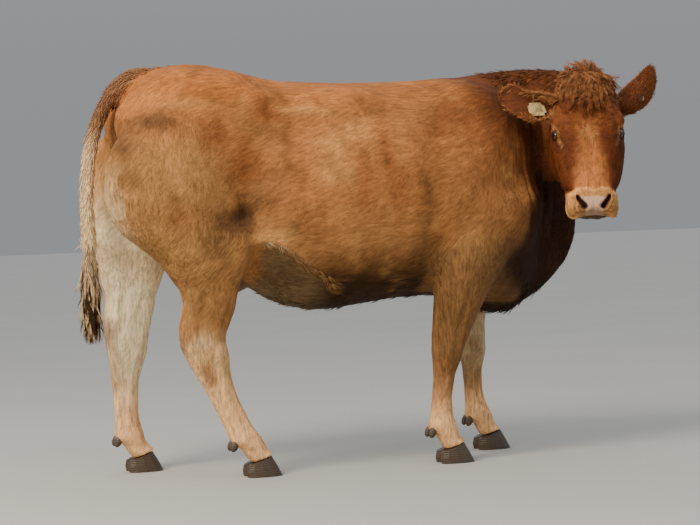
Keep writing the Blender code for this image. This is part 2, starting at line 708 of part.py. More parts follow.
def lid_opening(sign):
    """An ellipsoid that opens the flesh before the eye, as the lids do."""
    gaze = Vector((EYE_GAZE[0], EYE_GAZE[1] * sign, EYE_GAZE[2])).normalized()
    along = Vector((1, 0, 0))
    along = (along - along.dot(gaze) * gaze).normalized()
    turn = Matrix((along, gaze.cross(along), gaze)).transposed().to_4x4()
    turn = turn @ Matrix.Rotation(math.radians(LID_TILT * sign), 4, "Z")
    centre = Vector((EYE_AT[0], EYE_AT[1] * sign, EYE_AT[2])) + gaze * 0.018
    bm = bmesh.new()
    bmesh.ops.create_icosphere(bm, subdivisions=2, radius=1.0)
    place = head_matrix() @ Matrix.Translation(centre) @ turn
    bmesh.ops.transform(bm, matrix=place @ Matrix.Diagonal((*LID_OPENING, 1.0)),
                        verts=bm.verts)
    return mesh_of(bm)


# ---- assembly -----------------------------------------------------------------------
def settle(name, mesh, finish):
    """Places a finished piece as a named node with its material."""
    mesh.name = name
    mesh.materials.clear()
    mesh.materials.append(finish)
    mesh.polygons.foreach_set("material_index", [0] * len(mesh.polygons))
    node = bpy.data.objects.new(name, mesh)
    bpy.context.scene.collection.objects.link(node)
    node.location = SHIFT
    bpy.context.view_layer.objects.active = node
    node.select_set(True)
    bpy.ops.object.shade_smooth()
    node.select_set(False)
    return node


def build():
    hide = material("russet_hide", (0.36, 0.14, 0.05), 0.80)
    horn = material("hoof_horn", (0.075, 0.055, 0.042), 0.45)
    switch_hair = material("switch_hair", (0.30, 0.14, 0.06), 0.75)
    udder_skin = material("udder_skin", (0.55, 0.34, 0.26), 0.60)
    eyeball = material("eyeball", (0.02, 0.012, 0.009), 0.08)
    tag_plastic = material("tag_plastic", (0.72, 0.60, 0.26), 0.45)

    body, head = flesh_meshes()
    tail, switch = tail_meshes(body)
    settle("tail", tail, hide)
    settle("tail_switch", switch, switch_hair)
    settle("udder", udder_mesh(body), udder_skin)
    ears = {side: ear_mesh(side) for side in EARS}
    for ear in ears.values():
        head = largest(boolean(head, grown(ear, 2 * GAP), "DIFFERENCE"))
        body = largest(boolean(body, grown(ear, 2 * GAP), "DIFFERENCE"))

    for kind, lines, names in (("hind", HIND_LINES, ("thigh", "hind_shank")),
                               ("fore", FORE_LINES, ("forearm", "fore_shank"))):
        for side, line in lines.items():
            upper, lower, body = limb_pieces(body, kind, side, line)
            settle("%s_%s" % (names[0], side), upper, hide)
            settle("%s_%s" % (names[1], side), lower, hide)
            for where, claw_of_limb in zip(("outer", "inner"), dewclaws(line, lower)):
                settle("%s_dewclaw_%s_%s" % (kind, side, where), claw_of_limb, horn)
            for where in ("outer", "inner"):
                settle("%s_claw_%s_%s" % (kind, side, where), claw(line, where == "inner"),
                       horn)

    neck, trunk = parted(body, [NECK_CUT])
    settle("neck", neck, hide)
    settle("trunk", trunk, hide)

    for side, ear in ears.items():
        tag = tag_mesh(side)
        ear = largest(boolean(ear, grown(tag, 2 * GAP), "DIFFERENCE"))
        settle("ear_" + side, ear, hide)
        settle("ear_tag_" + side, tag, tag_plastic)
    for side, sign in (("left", 1), ("right", -1)):
        head = boolean(head, lid_opening(sign), "DIFFERENCE")
        head = boolean(head, eye_mesh(sign, EYE_RADIUS + GAP, 20), "DIFFERENCE")
        settle("eye_" + side, eye_mesh(sign, EYE_RADIUS, 14), eyeball)
    jaw, head = parted(head, [head_plane(MOUTH_CUT), head_plane(JAW_CUT)])
    settle("lower_jaw", jaw, hide)
    settle("head", head, hide)


def main():
    clear_scene()
    build()


main()
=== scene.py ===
# Life-size standing beef cow, head turned to its own right: one skin, mesh coat, studio.
import math

import bmesh
import bpy
import numpy as np
from mathutils import Matrix, Vector
from mathutils.bvhtree import BVHTree


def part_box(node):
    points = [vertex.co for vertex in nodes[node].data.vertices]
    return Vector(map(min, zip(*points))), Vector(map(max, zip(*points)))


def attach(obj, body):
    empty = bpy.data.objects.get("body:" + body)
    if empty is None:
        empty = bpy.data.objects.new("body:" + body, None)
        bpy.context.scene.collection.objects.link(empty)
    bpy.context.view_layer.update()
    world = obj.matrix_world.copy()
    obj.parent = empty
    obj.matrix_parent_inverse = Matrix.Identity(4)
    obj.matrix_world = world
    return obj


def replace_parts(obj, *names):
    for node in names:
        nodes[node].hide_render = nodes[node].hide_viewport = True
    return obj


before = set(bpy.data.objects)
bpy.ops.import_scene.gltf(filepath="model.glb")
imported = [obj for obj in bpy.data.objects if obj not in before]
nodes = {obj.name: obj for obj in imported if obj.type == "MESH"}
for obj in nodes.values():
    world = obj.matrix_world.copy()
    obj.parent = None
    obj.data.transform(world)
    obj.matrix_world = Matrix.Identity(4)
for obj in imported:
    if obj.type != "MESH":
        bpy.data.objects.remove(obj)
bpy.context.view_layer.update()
scene = bpy.context.scene

midline = 0.075          # the body's own middle plane, y in metres
bakePatch = 0.003        # a tuft's share of the map
dullHair = {"Specular IOR Level": 0.16}
headPlace = {
    "poll": (0.712, -0.205, 1.294),
    "yaw": -106.0,       # degrees, where the face looks
    "pitch": 60.0,       # degrees that the face hangs below level
}

print("stage 1: helpers")


def linear(hexColour):
    # sRGB hex to linear
    parts = [int(hexColour[i:i + 2], 16) / 255 for i in (1, 3, 5)]
    return np.array([c / 12.92 if c <= 0.04045 else ((c + 0.055) / 1.055) ** 2.4 for c in parts])


def ramp(value, low, high):
    # smooth 0 to 1 between low and high, either way round
    t = np.clip((value - low) / (high - low), 0.0, 1.0)
    return t * t * (3.0 - 2.0 * t)


def bell(value, middle, width):
    return np.exp(-((value - middle) / width) ** 2)


def mixTo(base, other, share):
    # from base towards other, by the share of each row
    return base * (1 - share[:, None]) + other * share[:, None]


def unit(vectors):
    return vectors / np.maximum(np.linalg.norm(vectors, axis=-1, keepdims=True), 1e-9)


def noiseAt(points, size, seed=0):
    # smooth value noise, -1 to 1, with cells of that size in metres
    q = points / size + seed * 7.31
    cell = np.floor(q).astype(np.int64)
    f = q - cell
    f = f * f * (3.0 - 2.0 * f)
    total = 0.0
    for i in (0, 1):
        for j in (0, 1):
            for k in (0, 1):
                h = ((cell[:, 0] + i) * 73856093) ^ ((cell[:, 1] + j) * 19349663)
                h = h ^ ((cell[:, 2] + k) * 83492791) ^ (seed * 374761393)
                h = ((h ^ (h >> 13)) * 1274126177) & 0x7FFFFFFF
                h = (h ^ (h >> 15)) & 0xFFFF
                w = np.where(i, f[:, 0], 1 - f[:, 0]) * np.where(j, f[:, 1], 1 - f[:, 1])
                total = total + w * np.where(k, f[:, 2], 1 - f[:, 2]) * (h / 32767.5 - 1.0)
    return total


def lineAt(z, line):
    # x of a line of (z, x) pairs at each height
    table = np.array(sorted(line))
    return np.interp(z, table[:, 0], table[:, 1])


def distanceToPath(points, path):
    # distance to a chain of points, and how far along it (0 to 1)
    path = np.array(path, float)
    best = np.full(len(points), 1e9)
    place = np.zeros(len(points))
    for i in range(len(path) - 1):
        a, ab = path[i], path[i + 1] - path[i]
        t = np.clip((points - a) @ ab / (ab @ ab), 0.0, 1.0)
        d = np.linalg.norm(points - a - t[:, None] * ab, axis=1)
        near = d < best
        best[near] = d[near]
        place[near] = (i + t[near]) / (len(path) - 1)
    return best, place


def nearPath(points, path, width):
    return np.exp(-(distanceToPath(points, path)[0] / width) ** 2)


yaw, pitch = math.radians(headPlace["yaw"]), math.radians(headPlace["pitch"])
faceDown = np.array([math.cos(yaw) * math.cos(pitch), math.sin(yaw) * math.cos(pitch),
                     -math.sin(pitch)])
faceLeft = np.array([-math.sin(yaw), math.cos(yaw), 0.0])
faceOut = np.cross(faceDown, faceLeft)
headAxes = np.array([faceDown, faceLeft, faceOut])
headPoll = np.array(headPlace["poll"])


def toHead(points):
    return (points - headPoll) @ headAxes.T


def fromHead(points):
    return np.asarray(points) @ headAxes + headPoll


def addNode(tree, kind, links=None, **settings):
    # one node with its settings; links maps an input to a value, a hex colour or a socket
    node = tree.nodes.new(kind)
    for name, value in settings.items():
        setattr(node, name, value)
    for name, value in (links or {}).items():
        if isinstance(value, bpy.types.NodeSocket):
            tree.links.new(value, node.inputs[name])
            continue
        if isinstance(value, str):
            value = (*linear(value), 1)
        node.inputs[name].default_value = value
    return node


def objectSpot(tree):
    return addNode(tree, "ShaderNodeTexCoord").outputs["Object"]


def cloudNode(tree, vector, scale, detail, **links):
    links.update(Vector=vector, Scale=scale, Detail=detail)
    return addNode(tree, "ShaderNodeTexNoise", links).outputs["Fac"]


def remapNode(tree, value, low, high, toLow=0.0, toHigh=1.0, **settings):
    return addNode(tree, "ShaderNodeMapRange", {
        "Value": value, "From Min": low, "From Max": high, "To Min": toLow,
        "To Max": toHigh}, **settings).outputs[0]


def mixNode(tree, kind, share, first, second):
    # two numbers (FLOAT) or two colours (RGBA)
    at, out = {"FLOAT": (2, 0), "RGBA": (6, 2)}[kind]
    return addNode(tree, "ShaderNodeMix", {0: share, at: first, at + 1: second},
                   data_type=kind).outputs[out]


def mathNode(tree, operation, first, second):
    return addNode(tree, "ShaderNodeMath", {0: first, 1: second}, operation=operation).outputs[0]


def vectorNode(tree, operation, first, links=None):
    # lengths and dot products come out as one number
    node = addNode(tree, "ShaderNodeVectorMath", {0: first, **(links or {})}, operation=operation)
    return node.outputs["Value" if operation in ("LENGTH", "DOT_PRODUCT") else "Vector"]


def bumpNode(tree, height, strength, distance, **links):
    links.update(Height=height, Strength=strength, Distance=distance)
    return addNode(tree, "ShaderNodeBump", links).outputs["Normal"]


def newMaterial(name, **settings):
    made = bpy.data.materials.new(name)
    made.use_nodes = True
    shader = made.node_tree.nodes["Principled BSDF"]
    for key, value in settings.items():
        shader.inputs[key].default_value = value
    return made, made.node_tree, shader


def recoat(node, material, label, width):
    # a material and softened edges for one of the part's own solids
    node.data.materials.clear()
    node.data.materials.append(material)
    soft = node.modifiers.new(label, "BEVEL")
    soft.width, soft.segments, soft.limit_method = width, 2, "ANGLE"


def colourLayer(mesh, name, values):
    layer = mesh.color_attributes.new(name, "FLOAT_COLOR", "POINT")
    layer.data.foreach_set("color", values.astype(np.float32).ravel())


def meshObject(name, verts, faces, material=None, smooth=True):
    mesh = bpy.data.meshes.new(name)
    verts = np.asarray(verts, np.float32)
    if isinstance(faces, np.ndarray):
        count, sides = faces.shape
        mesh.vertices.add(len(verts))
        mesh.vertices.foreach_set("co", verts.ravel())
        mesh.loops.add(count * sides)
        mesh.loops.foreach_set("vertex_index", faces.astype(np.int32).ravel())
        mesh.polygons.add(count)
        mesh.polygons.foreach_set("loop_start", np.arange(count, dtype=np.int32) * sides)
        mesh.update(calc_edges=True)
    else:
        mesh.from_pydata([tuple(v) for v in verts], [], faces)
        mesh.update()
    mesh.validate()
    mesh.polygons.foreach_set("use_smooth", [smooth] * len(mesh.polygons))
    made = bpy.data.objects.new(name, mesh)
    scene.collection.objects.link(made)
    if material:
        mesh.materials.append(material)
    return made


def pointsOf(mesh, kind="co"):
    # the points of a mesh, or their normals
    found = np.empty(len(mesh.vertices) * 3, np.float32)
    mesh.vertices.foreach_get(kind, found)
    return found.reshape(-1, 3).astype(float)


def setPoints(mesh, points):
    mesh.vertices.foreach_set("co", points.astype(np.float32).ravel())
    mesh.update()


def edgesOf(mesh):
    found = np.empty(len(mesh.edges) * 2, np.int32)
    mesh.edges.foreach_get("vertices", found)
    return found.reshape(-1, 2)


def spread(values, edges, passes, share=0.5):
    # averages a value over neighbouring points, several times
    count = len(values)
    degree = np.bincount(edges.ravel(), minlength=count)[:, None]
    shape = values.shape
    values = values.reshape(count, -1).copy()
    for _ in range(passes):
        total = np.empty_like(values)
        for k in range(values.shape[1]):
            total[:, k] = (np.bincount(edges[:, 0], values[edges[:, 1], k], count)
                           + np.bincount(edges[:, 1], values[edges[:, 0], k], count))
        values += share * (total / np.maximum(degree, 1) - values)
    return values.reshape(shape)


def relax(points, edges, mask, passes, share=0.75):
    # smooths only where the mask is above 0, and by as much as it says
    near = mask > 0
    near[edges[near[edges].any(axis=1)].ravel()] = True
    index = np.cumsum(near) - 1
    inner = index[edges[near[edges].all(axis=1)]]
    smooth = spread(points[near], inner, passes, share)
    points = points.copy()
    points[near] += mask[near][:, None] * (smooth - points[near])
    return points


def evaluatedMesh(thing):
    graph = bpy.context.evaluated_depsgraph_get()
    return bpy.data.meshes.new_from_object(thing.evaluated_get(graph))


def dropObject(thing):
    bpy.data.objects.remove(thing, do_unlink=True)


print("stage 2: one skin over the flesh")
skinSet = {
    "overlap": 0.0012,       # pieces of flesh are swollen this much so that the cuts close
    "voxel": 0.0034,
    "quickVoxel": 1.8,
    "bodyShare": 0.27,       # triangles kept away from the head
    "limbPasses": 12,
    "trunkPasses": 55,
    "eyeRounds": (0.046, 0.034),              # radii of finer faces, metres
    "muzzle": (0.462, 0.0, -0.085),           # in the head's frame
    "muzzleRound": 0.105,
    "regionPasses": 14,
    "quickPasses": 6,
}
fleshNames = [name for name in nodes
              if not any(word in name for word in ("claw", "eye", "tag", "switch"))]
regionNames = ["trunk", "neck", "head", "ear", "tail", "udder", "thigh", "forearm",
               "hind_shank", "fore_shank"]


def regionOf(name):
    if name == "lower_jaw":
        return regionNames.index("head")
    return next(i for i, word in enumerate(regionNames) if name.startswith(word))


def joinedFlesh():
    bm = bmesh.new()
    regions = []
    for name in fleshNames + ["eye_left", "eye_right"]:
        before = len(bm.faces)
        bm.from_mesh(nodes[name].data)
        region = regionNames.index("head") if "eye" in name else regionOf(name)
        regions += [region] * (len(bm.faces) - before)
    bm.faces.ensure_lookup_table()
    tag = bm.faces.layers.int.new("region")
    for face, region in zip(bm.faces, regions):
        face[tag] = region
    bmesh.ops.remove_doubles(bm, verts=bm.verts, dist=1e-5)
    bm.normal_update()
    tree = BVHTree.FromBMesh(bm)
    regions = [face[tag] for face in bm.faces]
    for vert in bm.verts:
        vert.co += vert.normal * skinSet["overlap"]
    mesh = bpy.data.meshes.new("flesh")
    bm.to_mesh(mesh)
    bm.free()
    return mesh, tree, regions


def fusedSkin(flesh):
    clay = bpy.data.objects.new("clay", flesh)
    scene.collection.objects.link(clay)
    fuse = clay.modifiers.new("fuse", "REMESH")
    fuse.mode = "VOXEL"
    fuse.voxel_size = skinSet["voxel"] * 1.0
    mesh = evaluatedMesh(clay)
    dropObject(clay)
    points, edges = pointsOf(mesh), edgesOf(mesh)
    head = toHead(points)
    inHead = ramp(head[:, 0], -0.10, -0.04) * ramp(np.abs(head[:, 1]), 0.34, 0.26)
    inHead *= ramp(head[:, 2], -0.34, -0.26)
    # flat facets vanish: trunk relaxed most, then limbs and face; the thin ears keep their edge
    ears = ramp(np.abs(head[:, 1]), 0.098, 0.118) * ramp(head[:, 0], 0.175, 0.150) * inHead
    points = relax(points, edges, 1 - 0.9 * ears, skinSet["limbPasses"])
    x, z = points[:, 0], points[:, 2]
    broad = ramp(z, 0.62, 0.74) * (1 - inHead) * ramp(x, -0.90, -0.80)
    points = relax(points, edges, broad, skinSet["trunkPasses"])
    # the shoulder runs into the neck without a shelf
    drawn = ramp(x, 0.28, 0.40) * ramp(x, 0.74, 0.64)
    drawn = drawn * ramp(z, 0.70, 0.80) * ramp(z, 1.28, 1.18) * (1 - inHead)
    points = relax(points, edges, drawn, 2 * skinSet["trunkPasses"])
    setPoints(mesh, points)
    skin = bpy.data.objects.new("skin", mesh)
    scene.collection.objects.link(skin)
    away = skin.vertex_groups.new(name="away")
    away.add([int(i) for i in np.nonzero(inHead < 0.5)[0]], 1.0, "REPLACE")
    fewer = skin.modifiers.new("fewer", "DECIMATE")
    share = 1.0 - (1.0 - skinSet["bodyShare"]) * float((inHead < 0.5).mean())
    fewer.ratio = share
    fewer.vertex_group = "away"
    fewer.vertex_group_factor = 1.0
    mesh = evaluatedMesh(skin)
    dropObject(skin)
    return mesh


fleshMesh, fleshTree, fleshRegions = joinedFlesh()
skinMesh = fusedSkin(fleshMesh)
print("   skin points", len(skinMesh.vertices), "faces", len(skinMesh.polygons))

# finer faces round the eyes and over the muzzle
bm = bmesh.new()
bm.from_mesh(skinMesh)
eyeSet = {
    "centre": (0.196, 0.102, -0.056),      # in the head's frame, left side
    "radius": 0.0195,
    "gaze": (0.14, 0.80, 0.58),
    "tilt": -16.0,                         # degrees, the inner corner hangs
    "halfLength": 0.0205,
    "upper": 0.0098,
    "lower": 0.0076,
    "lid": 0.0028,
    "slope": -0.28,                        # radians, how the pupil's long side lies
}


def refine(bm, centre, radius):
    centre = Vector(centre)
    inside = [e for e in bm.edges
              if all((v.co - centre).length < radius for v in e.verts)]
    bmesh.ops.subdivide_edges(bm, edges=inside, cuts=1, use_grid_fill=True)


for side in (1, -1):
    spot = fromHead([eyeSet["centre"][0], side * eyeSet["centre"][1], eyeSet["centre"][2]])
    for radius in skinSet["eyeRounds"]:
        refine(bm, spot, radius)
refine(bm, fromHead(skinSet["muzzle"]), skinSet["muzzleRound"])
bmesh.ops.triangulate(bm, faces=[f for f in bm.faces if len(f.verts) > 4])
bm.to_mesh(skinMesh)
bm.free()

print("stage 3: the region of each point of the skin")
points = pointsOf(skinMesh)
edges = edgesOf(skinMesh)
labels = np.array([fleshRegions[fleshTree.find_nearest(p)[2]] for p in points.tolist()])
weights = np.zeros((len(points), len(regionNames)))
weights[np.arange(len(points)), labels] = 1.0
weights = spread(weights, edges, skinSet["regionPasses"])
part = {name: weights[:, i] for i, name in enumerate(regionNames)}

print("stage 4: forms of the skin under the coat")
coatDepth = {"trunk": 0.0050, "neck": 0.0060, "head": 0.0030, "ear": 0.0016, "tail": 0.0085,
             "udder": 0.0010, "thigh": 0.0045, "forearm": 0.0036, "hind_shank": 0.0024,
             "fore_shank": 0.0024,
             # added to them
             "pollHair": 0.014, "crest": 0.008, "tailHead": 0.004, "brisket": 0.004}
legLines = {            # z and x down the middle of each limb
    ("hind", -1): ((0.72, -0.628), (0.59, -0.599), (0.45, -0.627), (0.28, -0.567), (0.13, -0.494),
                   (0.066, -0.445)),
    ("hind", 1): ((0.73, -0.775), (0.60, -0.788), (0.465, -0.808), (0.30, -0.820), (0.132, -0.815),
                  (0.066, -0.772)),
    ("fore", -1): ((0.59, 0.278), (0.474, 0.246), (0.37, 0.223), (0.26, 0.207), (0.132, 0.200),
                   (0.066, 0.236)),
    ("fore", 1): ((0.59, 0.420), (0.47, 0.417), (0.36, 0.431), (0.255, 0.430), (0.13, 0.445),
                  (0.066, 0.485)),
}
head = toHead(points)
side = np.sign(points[:, 1] - midline)
normals = pointsOf(skinMesh, "normal")

# the coat is deepest on the poll, the crest, the tail head and the brisket
depth = sum(part[name] * coatDepth[name] for name in regionNames)
pollHair = part["head"] * ramp(head[:, 0], 0.135, 0.02) * ramp(head[:, 2], -0.13, -0.05)
crestHair = part["neck"] * ramp(points[:, 2], 1.22, 1.33)
tailHead = ramp(points[:, 0], -0.62, -0.78) * ramp(points[:, 2], 1.20, 1.32)
brisketHair = ramp(points[:, 2], 0.62, 0.52) * ramp(points[:, 0], 0.38, 0.50)
depth += coatDepth["pollHair"] * pollHair + coatDepth["crest"] * crestHair
depth += coatDepth["tailHead"] * tailHead + coatDepth["brisket"] * brisketHair


def foldsAlong(coordinate, spacing, sharp=2.0):
    # rounded ridges with narrow creases between them, 0 on the ridge to 1 in the crease
    wave = 0.5 + 0.5 * np.cos(2 * math.pi * coordinate / spacing)
    return wave ** sharp


# where the flank's fold ends: x, and its height above the floor
flankEdge = ((-0.480, -0.410, -0.350, -0.300, -0.230, -0.160),
             (0.768, 0.768, 0.742, 0.700, 0.655, 0.600))


def neckShare(p, back=0.0):
    # 0 on the shoulder, 1 on the neck; the line between them runs from withers to brisket
    line = np.interp(p[:, 2], (0.60, 0.78, 0.90, 1.03, 1.16, 1.32),
                     (0.400, 0.505, 0.520, 0.522, 0.455, 0.330))
    line = line - back * ramp(p[:, 2], 0.88, 1.02)
    return ramp(p[:, 0] - line + 0.010 * noiseAt(p, 0.05, 6), -0.015, 0.035)


# round forms on both flanks: height, x and its half width, z and its half height
roundForms = (
    (-0.020, -0.498, 0.050, 0.855, 0.034),      # the hollow of the flank
    (-0.012, -0.310, 0.070, 1.130, 0.060),      # under the loin
    (0.006, -0.250, 0.110, 1.205, 0.016),       # edge of the loin
    (-0.007, -0.385, 0.016, 1.190, 0.070),      # before the hip
    (0.009, -0.500, 0.042, 1.285, 0.036),       # point of the hip
    (0.0060, 0.330, 0.090, 0.960, 0.110),       # muscle over the arm
)


# long forms on both flanks: height, width and path
longForms = (
    (0.0050, 0.022, ((0.310, 0, 1.235), (0.440, 0, 0.900))),       # the shoulder blade's spine
    (-0.0085, 0.038, ((0.190, 0, 1.150), (0.165, 0, 0.820))),      # behind its muscle
    (-0.0075, 0.028, ((-0.790, 0, 1.130), (-0.720, 0, 0.960),
                      (-0.690, 0, 0.780))),                        # between the thigh muscles
)


def bodyForms(p):
    # how far the skin stands out (+) or sinks (-) along its normal, in metres
    x, y, z = p[:, 0], p[:, 1], p[:, 2]
    near = (y < midline).astype(float)
    high = np.zeros(len(p))
    # neck folds on the hollow side, where the head is turned in
    across = x - 0.575 + 0.16 * (1.05 - z) ** 2 + 0.10 * (z - 1.05) + 0.008 * noiseAt(p, 0.09, 3)
    mask = (1 - part["head"]) * near * ramp(z, 0.70, 0.82) * ramp(z, 1.24, 1.12)
    mask = mask * ramp(x, 0.485, 0.545) * ramp(x, 0.70, 0.64)
    high -= 0.0085 * mask * foldsAlong(across, 0.036, 2.4)
    # the skin drawn over the shoulder's front edge
    drawn = bell(x + 0.20 * (z - 0.95), 0.500, 0.026) * ramp(z, 0.72, 0.85)
    high -= 0.0020 * near * drawn * ramp(z, 1.22, 1.10)
    # creases at the elbow
    fan = x - 0.165 + 0.35 * (z - 0.66)
    mask = bell(x, 0.165, 0.050) * bell(z, 0.650, 0.062) * ramp(np.abs(y - midline), 0.15, 0.21)
    high -= 0.0060 * mask * foldsAlong(fan + 0.006 * noiseAt(p, 0.05, 5), 0.024, 1.6)
    # the valley before the thigh: from the loin down to the soft hollow of the flank
    wide = ramp(np.abs(y - midline), 0.10, 0.18)
    gap, along = distanceToPath(p * (1, 0, 1), ((-0.385, 0, 1.270), (-0.430, 0, 1.150),
                                                (-0.462, 0, 1.010), (-0.478, 0, 0.880)))
    high -= (0.012 + 0.006 * along) * np.exp(-(gap / (0.050 - 0.008 * along)) ** 2) * wide
    for rise, px, broad, pz, tall in roundForms:
        high += rise * bell(x, px, broad) * bell(z, pz, tall) * wide
    # the fold of skin from the stifle to the belly: full above its edge, undercut below
    edge = z - np.interp(x, flankEdge[0], flankEdge[1])
    here = ramp(x, -0.50, -0.44) * ramp(x, -0.14, -0.26) * wide
    high += 0.010 * np.exp(-((edge - 0.012) / 0.018) ** 2) * here
    high -= 0.026 * ramp(edge, 0.001, -0.008) * ramp(edge, -0.150, -0.040) * here
    # faint ribs
    ribs = np.cos(2 * math.pi * (x + 0.22 * (z - 0.9)) / 0.062)
    ribs = ribs + 0.8 * noiseAt(p * (1, 1, 0.35), 0.045, 9)
    high += 0.0024 * ribs * ramp(x, -0.36, -0.22) * ramp(x, 0.20, 0.08) * bell(z, 1.02, 0.17) * wide
    for rise, width, path in longForms:
        high += rise * nearPath(p * (1, 0, 1), path, width) * wide
    # broad unevenness of fat and muscle
    body = part["trunk"] + part["neck"] + part["thigh"]
    high += body * (0.0030 * noiseAt(p, 0.15, 11) + 0.0014 * noiseAt(p, 0.055, 12)
                    + 0.0007 * noiseAt(p, 0.026, 13))
    return high


# height, how far before the limb's line and half width, z and half height
limbForms = {
    "hind": ((-0.0085, -0.030, 0.015, 0.560, 0.060),     # before the hamstring
             (0.0050, 0.010, 0.020, 0.455, 0.030),       # front of the hock
             (0.0040, -0.055, 0.018, 0.500, 0.024)),     # its point
    "fore": ((0.0045, 0.030, 0.020, 0.355, 0.030),       # front of the knee
             (0.0040, -0.040, 0.016, 0.385, 0.022),      # back of the knee
             (-0.0040, 0.012, 0.012, 0.500, 0.080)),     # hollow of the forearm
}
# the cannon's groove: depth, place, and where it starts and ends in height
cannonGroove = {"hind": (0.0035, -0.012, (0.17, 0.24), (0.43, 0.36)),
                "fore": (0.0032, -0.010, (0.16, 0.22), (0.33, 0.27))}


def legForms(p):
    x, y, z = p[:, 0], p[:, 1], p[:, 2]
    high = np.zeros(len(p))
    for (which, hand), line in legLines.items():
        mine = part[which + "_shank"] + part["thigh" if which == "hind" else "forearm"]
        mine = mine * (side == hand)
        back = x - lineAt(z, line)
        for rise, off, wide, pz, tall in limbForms[which]:
            high += rise * mine * bell(back, off, wide) * bell(z, pz, tall)
        if which == "hind":
            high += 0.0130 * mine * ramp(back, 0.000, 0.030) * bell(z, 0.395, 0.060)
        rise, off, low, top = cannonGroove[which]
        groove = bell(back, off, 0.008) * ramp(z, *low) * ramp(z, *top)
        high -= rise * mine * groove
        # fetlock, and the hollow of the pastern
        high += 0.0030 * mine * bell(z, 0.128, 0.022)
        high -= 0.0030 * mine * bell(z, 0.086, 0.014)
        # the cleft over the two claws
        low = [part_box("%s_claw_%s_%s" % (which, "left" if hand > 0 else "right", w))
               for w in ("inner", "outer")]
        middle = (min(b[0].y for b in low) + max(b[1].y for b in low)) / 2
        high -= 0.0060 * mine * bell(y, middle, 0.006) * ramp(z, 0.105, 0.070)
        for where in ("inner", "outer"):
            low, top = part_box("%s_dewclaw_%s_%s" % (which, "left" if hand > 0 else "right", where))
            spot = np.array((low + top) / 2) + (0.010, 0, 0.010)
            high += 0.0060 * mine * np.exp(-(np.linalg.norm(p - spot, axis=1) / 0.017) ** 2)
    return high


# long forms of the face in the head's frame: height, width and path
faceForms = (
    (0.0045, 0.014, ((0.225, 0.112, -0.085), (0.300, 0.104, -0.095), (0.345, 0.092, -0.095))),
    (-0.0040, 0.013, ((0.235, 0.100, -0.050), (0.330, 0.085, -0.062))),      # below the eye
    (-0.0035, 0.012, ((0.150, 0.115, -0.120), (0.250, 0.112, -0.150),
                      (0.285, 0.098, -0.175))),                             # cheek and jaw
    (0.0050, 0.012, ((0.150, 0.100, -0.030), (0.178, 0.112, -0.034),
                     (0.206, 0.106, -0.030))),                              # brow
)


def headForms(p, h):
    x, y, z = h[:, 0], np.abs(h[:, 1]), h[:, 2]
    mine = part["head"]
    high = np.zeros(len(p))
    # forehead hollow between the eyes, nasal bone, then the long forms
    high -= 0.0040 * mine * bell(x, 0.190, 0.040) * bell(y, 0.0, 0.040) * ramp(z, -0.06, -0.02)
    nasal = bell(y, 0.030, 0.014) * ramp(x, 0.22, 0.27) * ramp(x, 0.42, 0.37)
    high += 0.0022 * mine * nasal * ramp(z, -0.08, -0.04)
    where = np.column_stack([x, y, z])
    for rise, width, path in faceForms:
        high += rise * mine * nearPath(where, path, width)
    return high


def muzzlePlace(h):
    # the front of the nose, seen square on: how far down it, and how far from its middle
    return 0.866 * h[:, 0] - 0.5 * h[:, 2] - 0.410, np.abs(h[:, 1])


def nostrilPlace(h):
    # distance from a nostril's middle line, and its half width there
    flat = np.column_stack(muzzlePlace(h))
    gap, along = distanceToPath(flat, ((-0.006, 0.0530), (0.004, 0.0480), (0.013, 0.0410),
                                       (0.021, 0.0345), (0.027, 0.0300)))
    half = 0.0056 + 0.0052 * np.sqrt(np.clip(along, 0, 1))
    return gap, half, ramp(h[:, 0], 0.395, 0.410) * ramp(h[:, 2], -0.115, -0.100)


def mouthGap(h):
    # height over the mouth line, which droops at the sides and rises to its corner
    out = np.minimum(np.abs(h[:, 1]), 0.085)
    line = -0.100 - 6.6 * out ** 2 + 0.10 * np.maximum(0.455 - h[:, 0], 0)
    return h[:, 2] - line


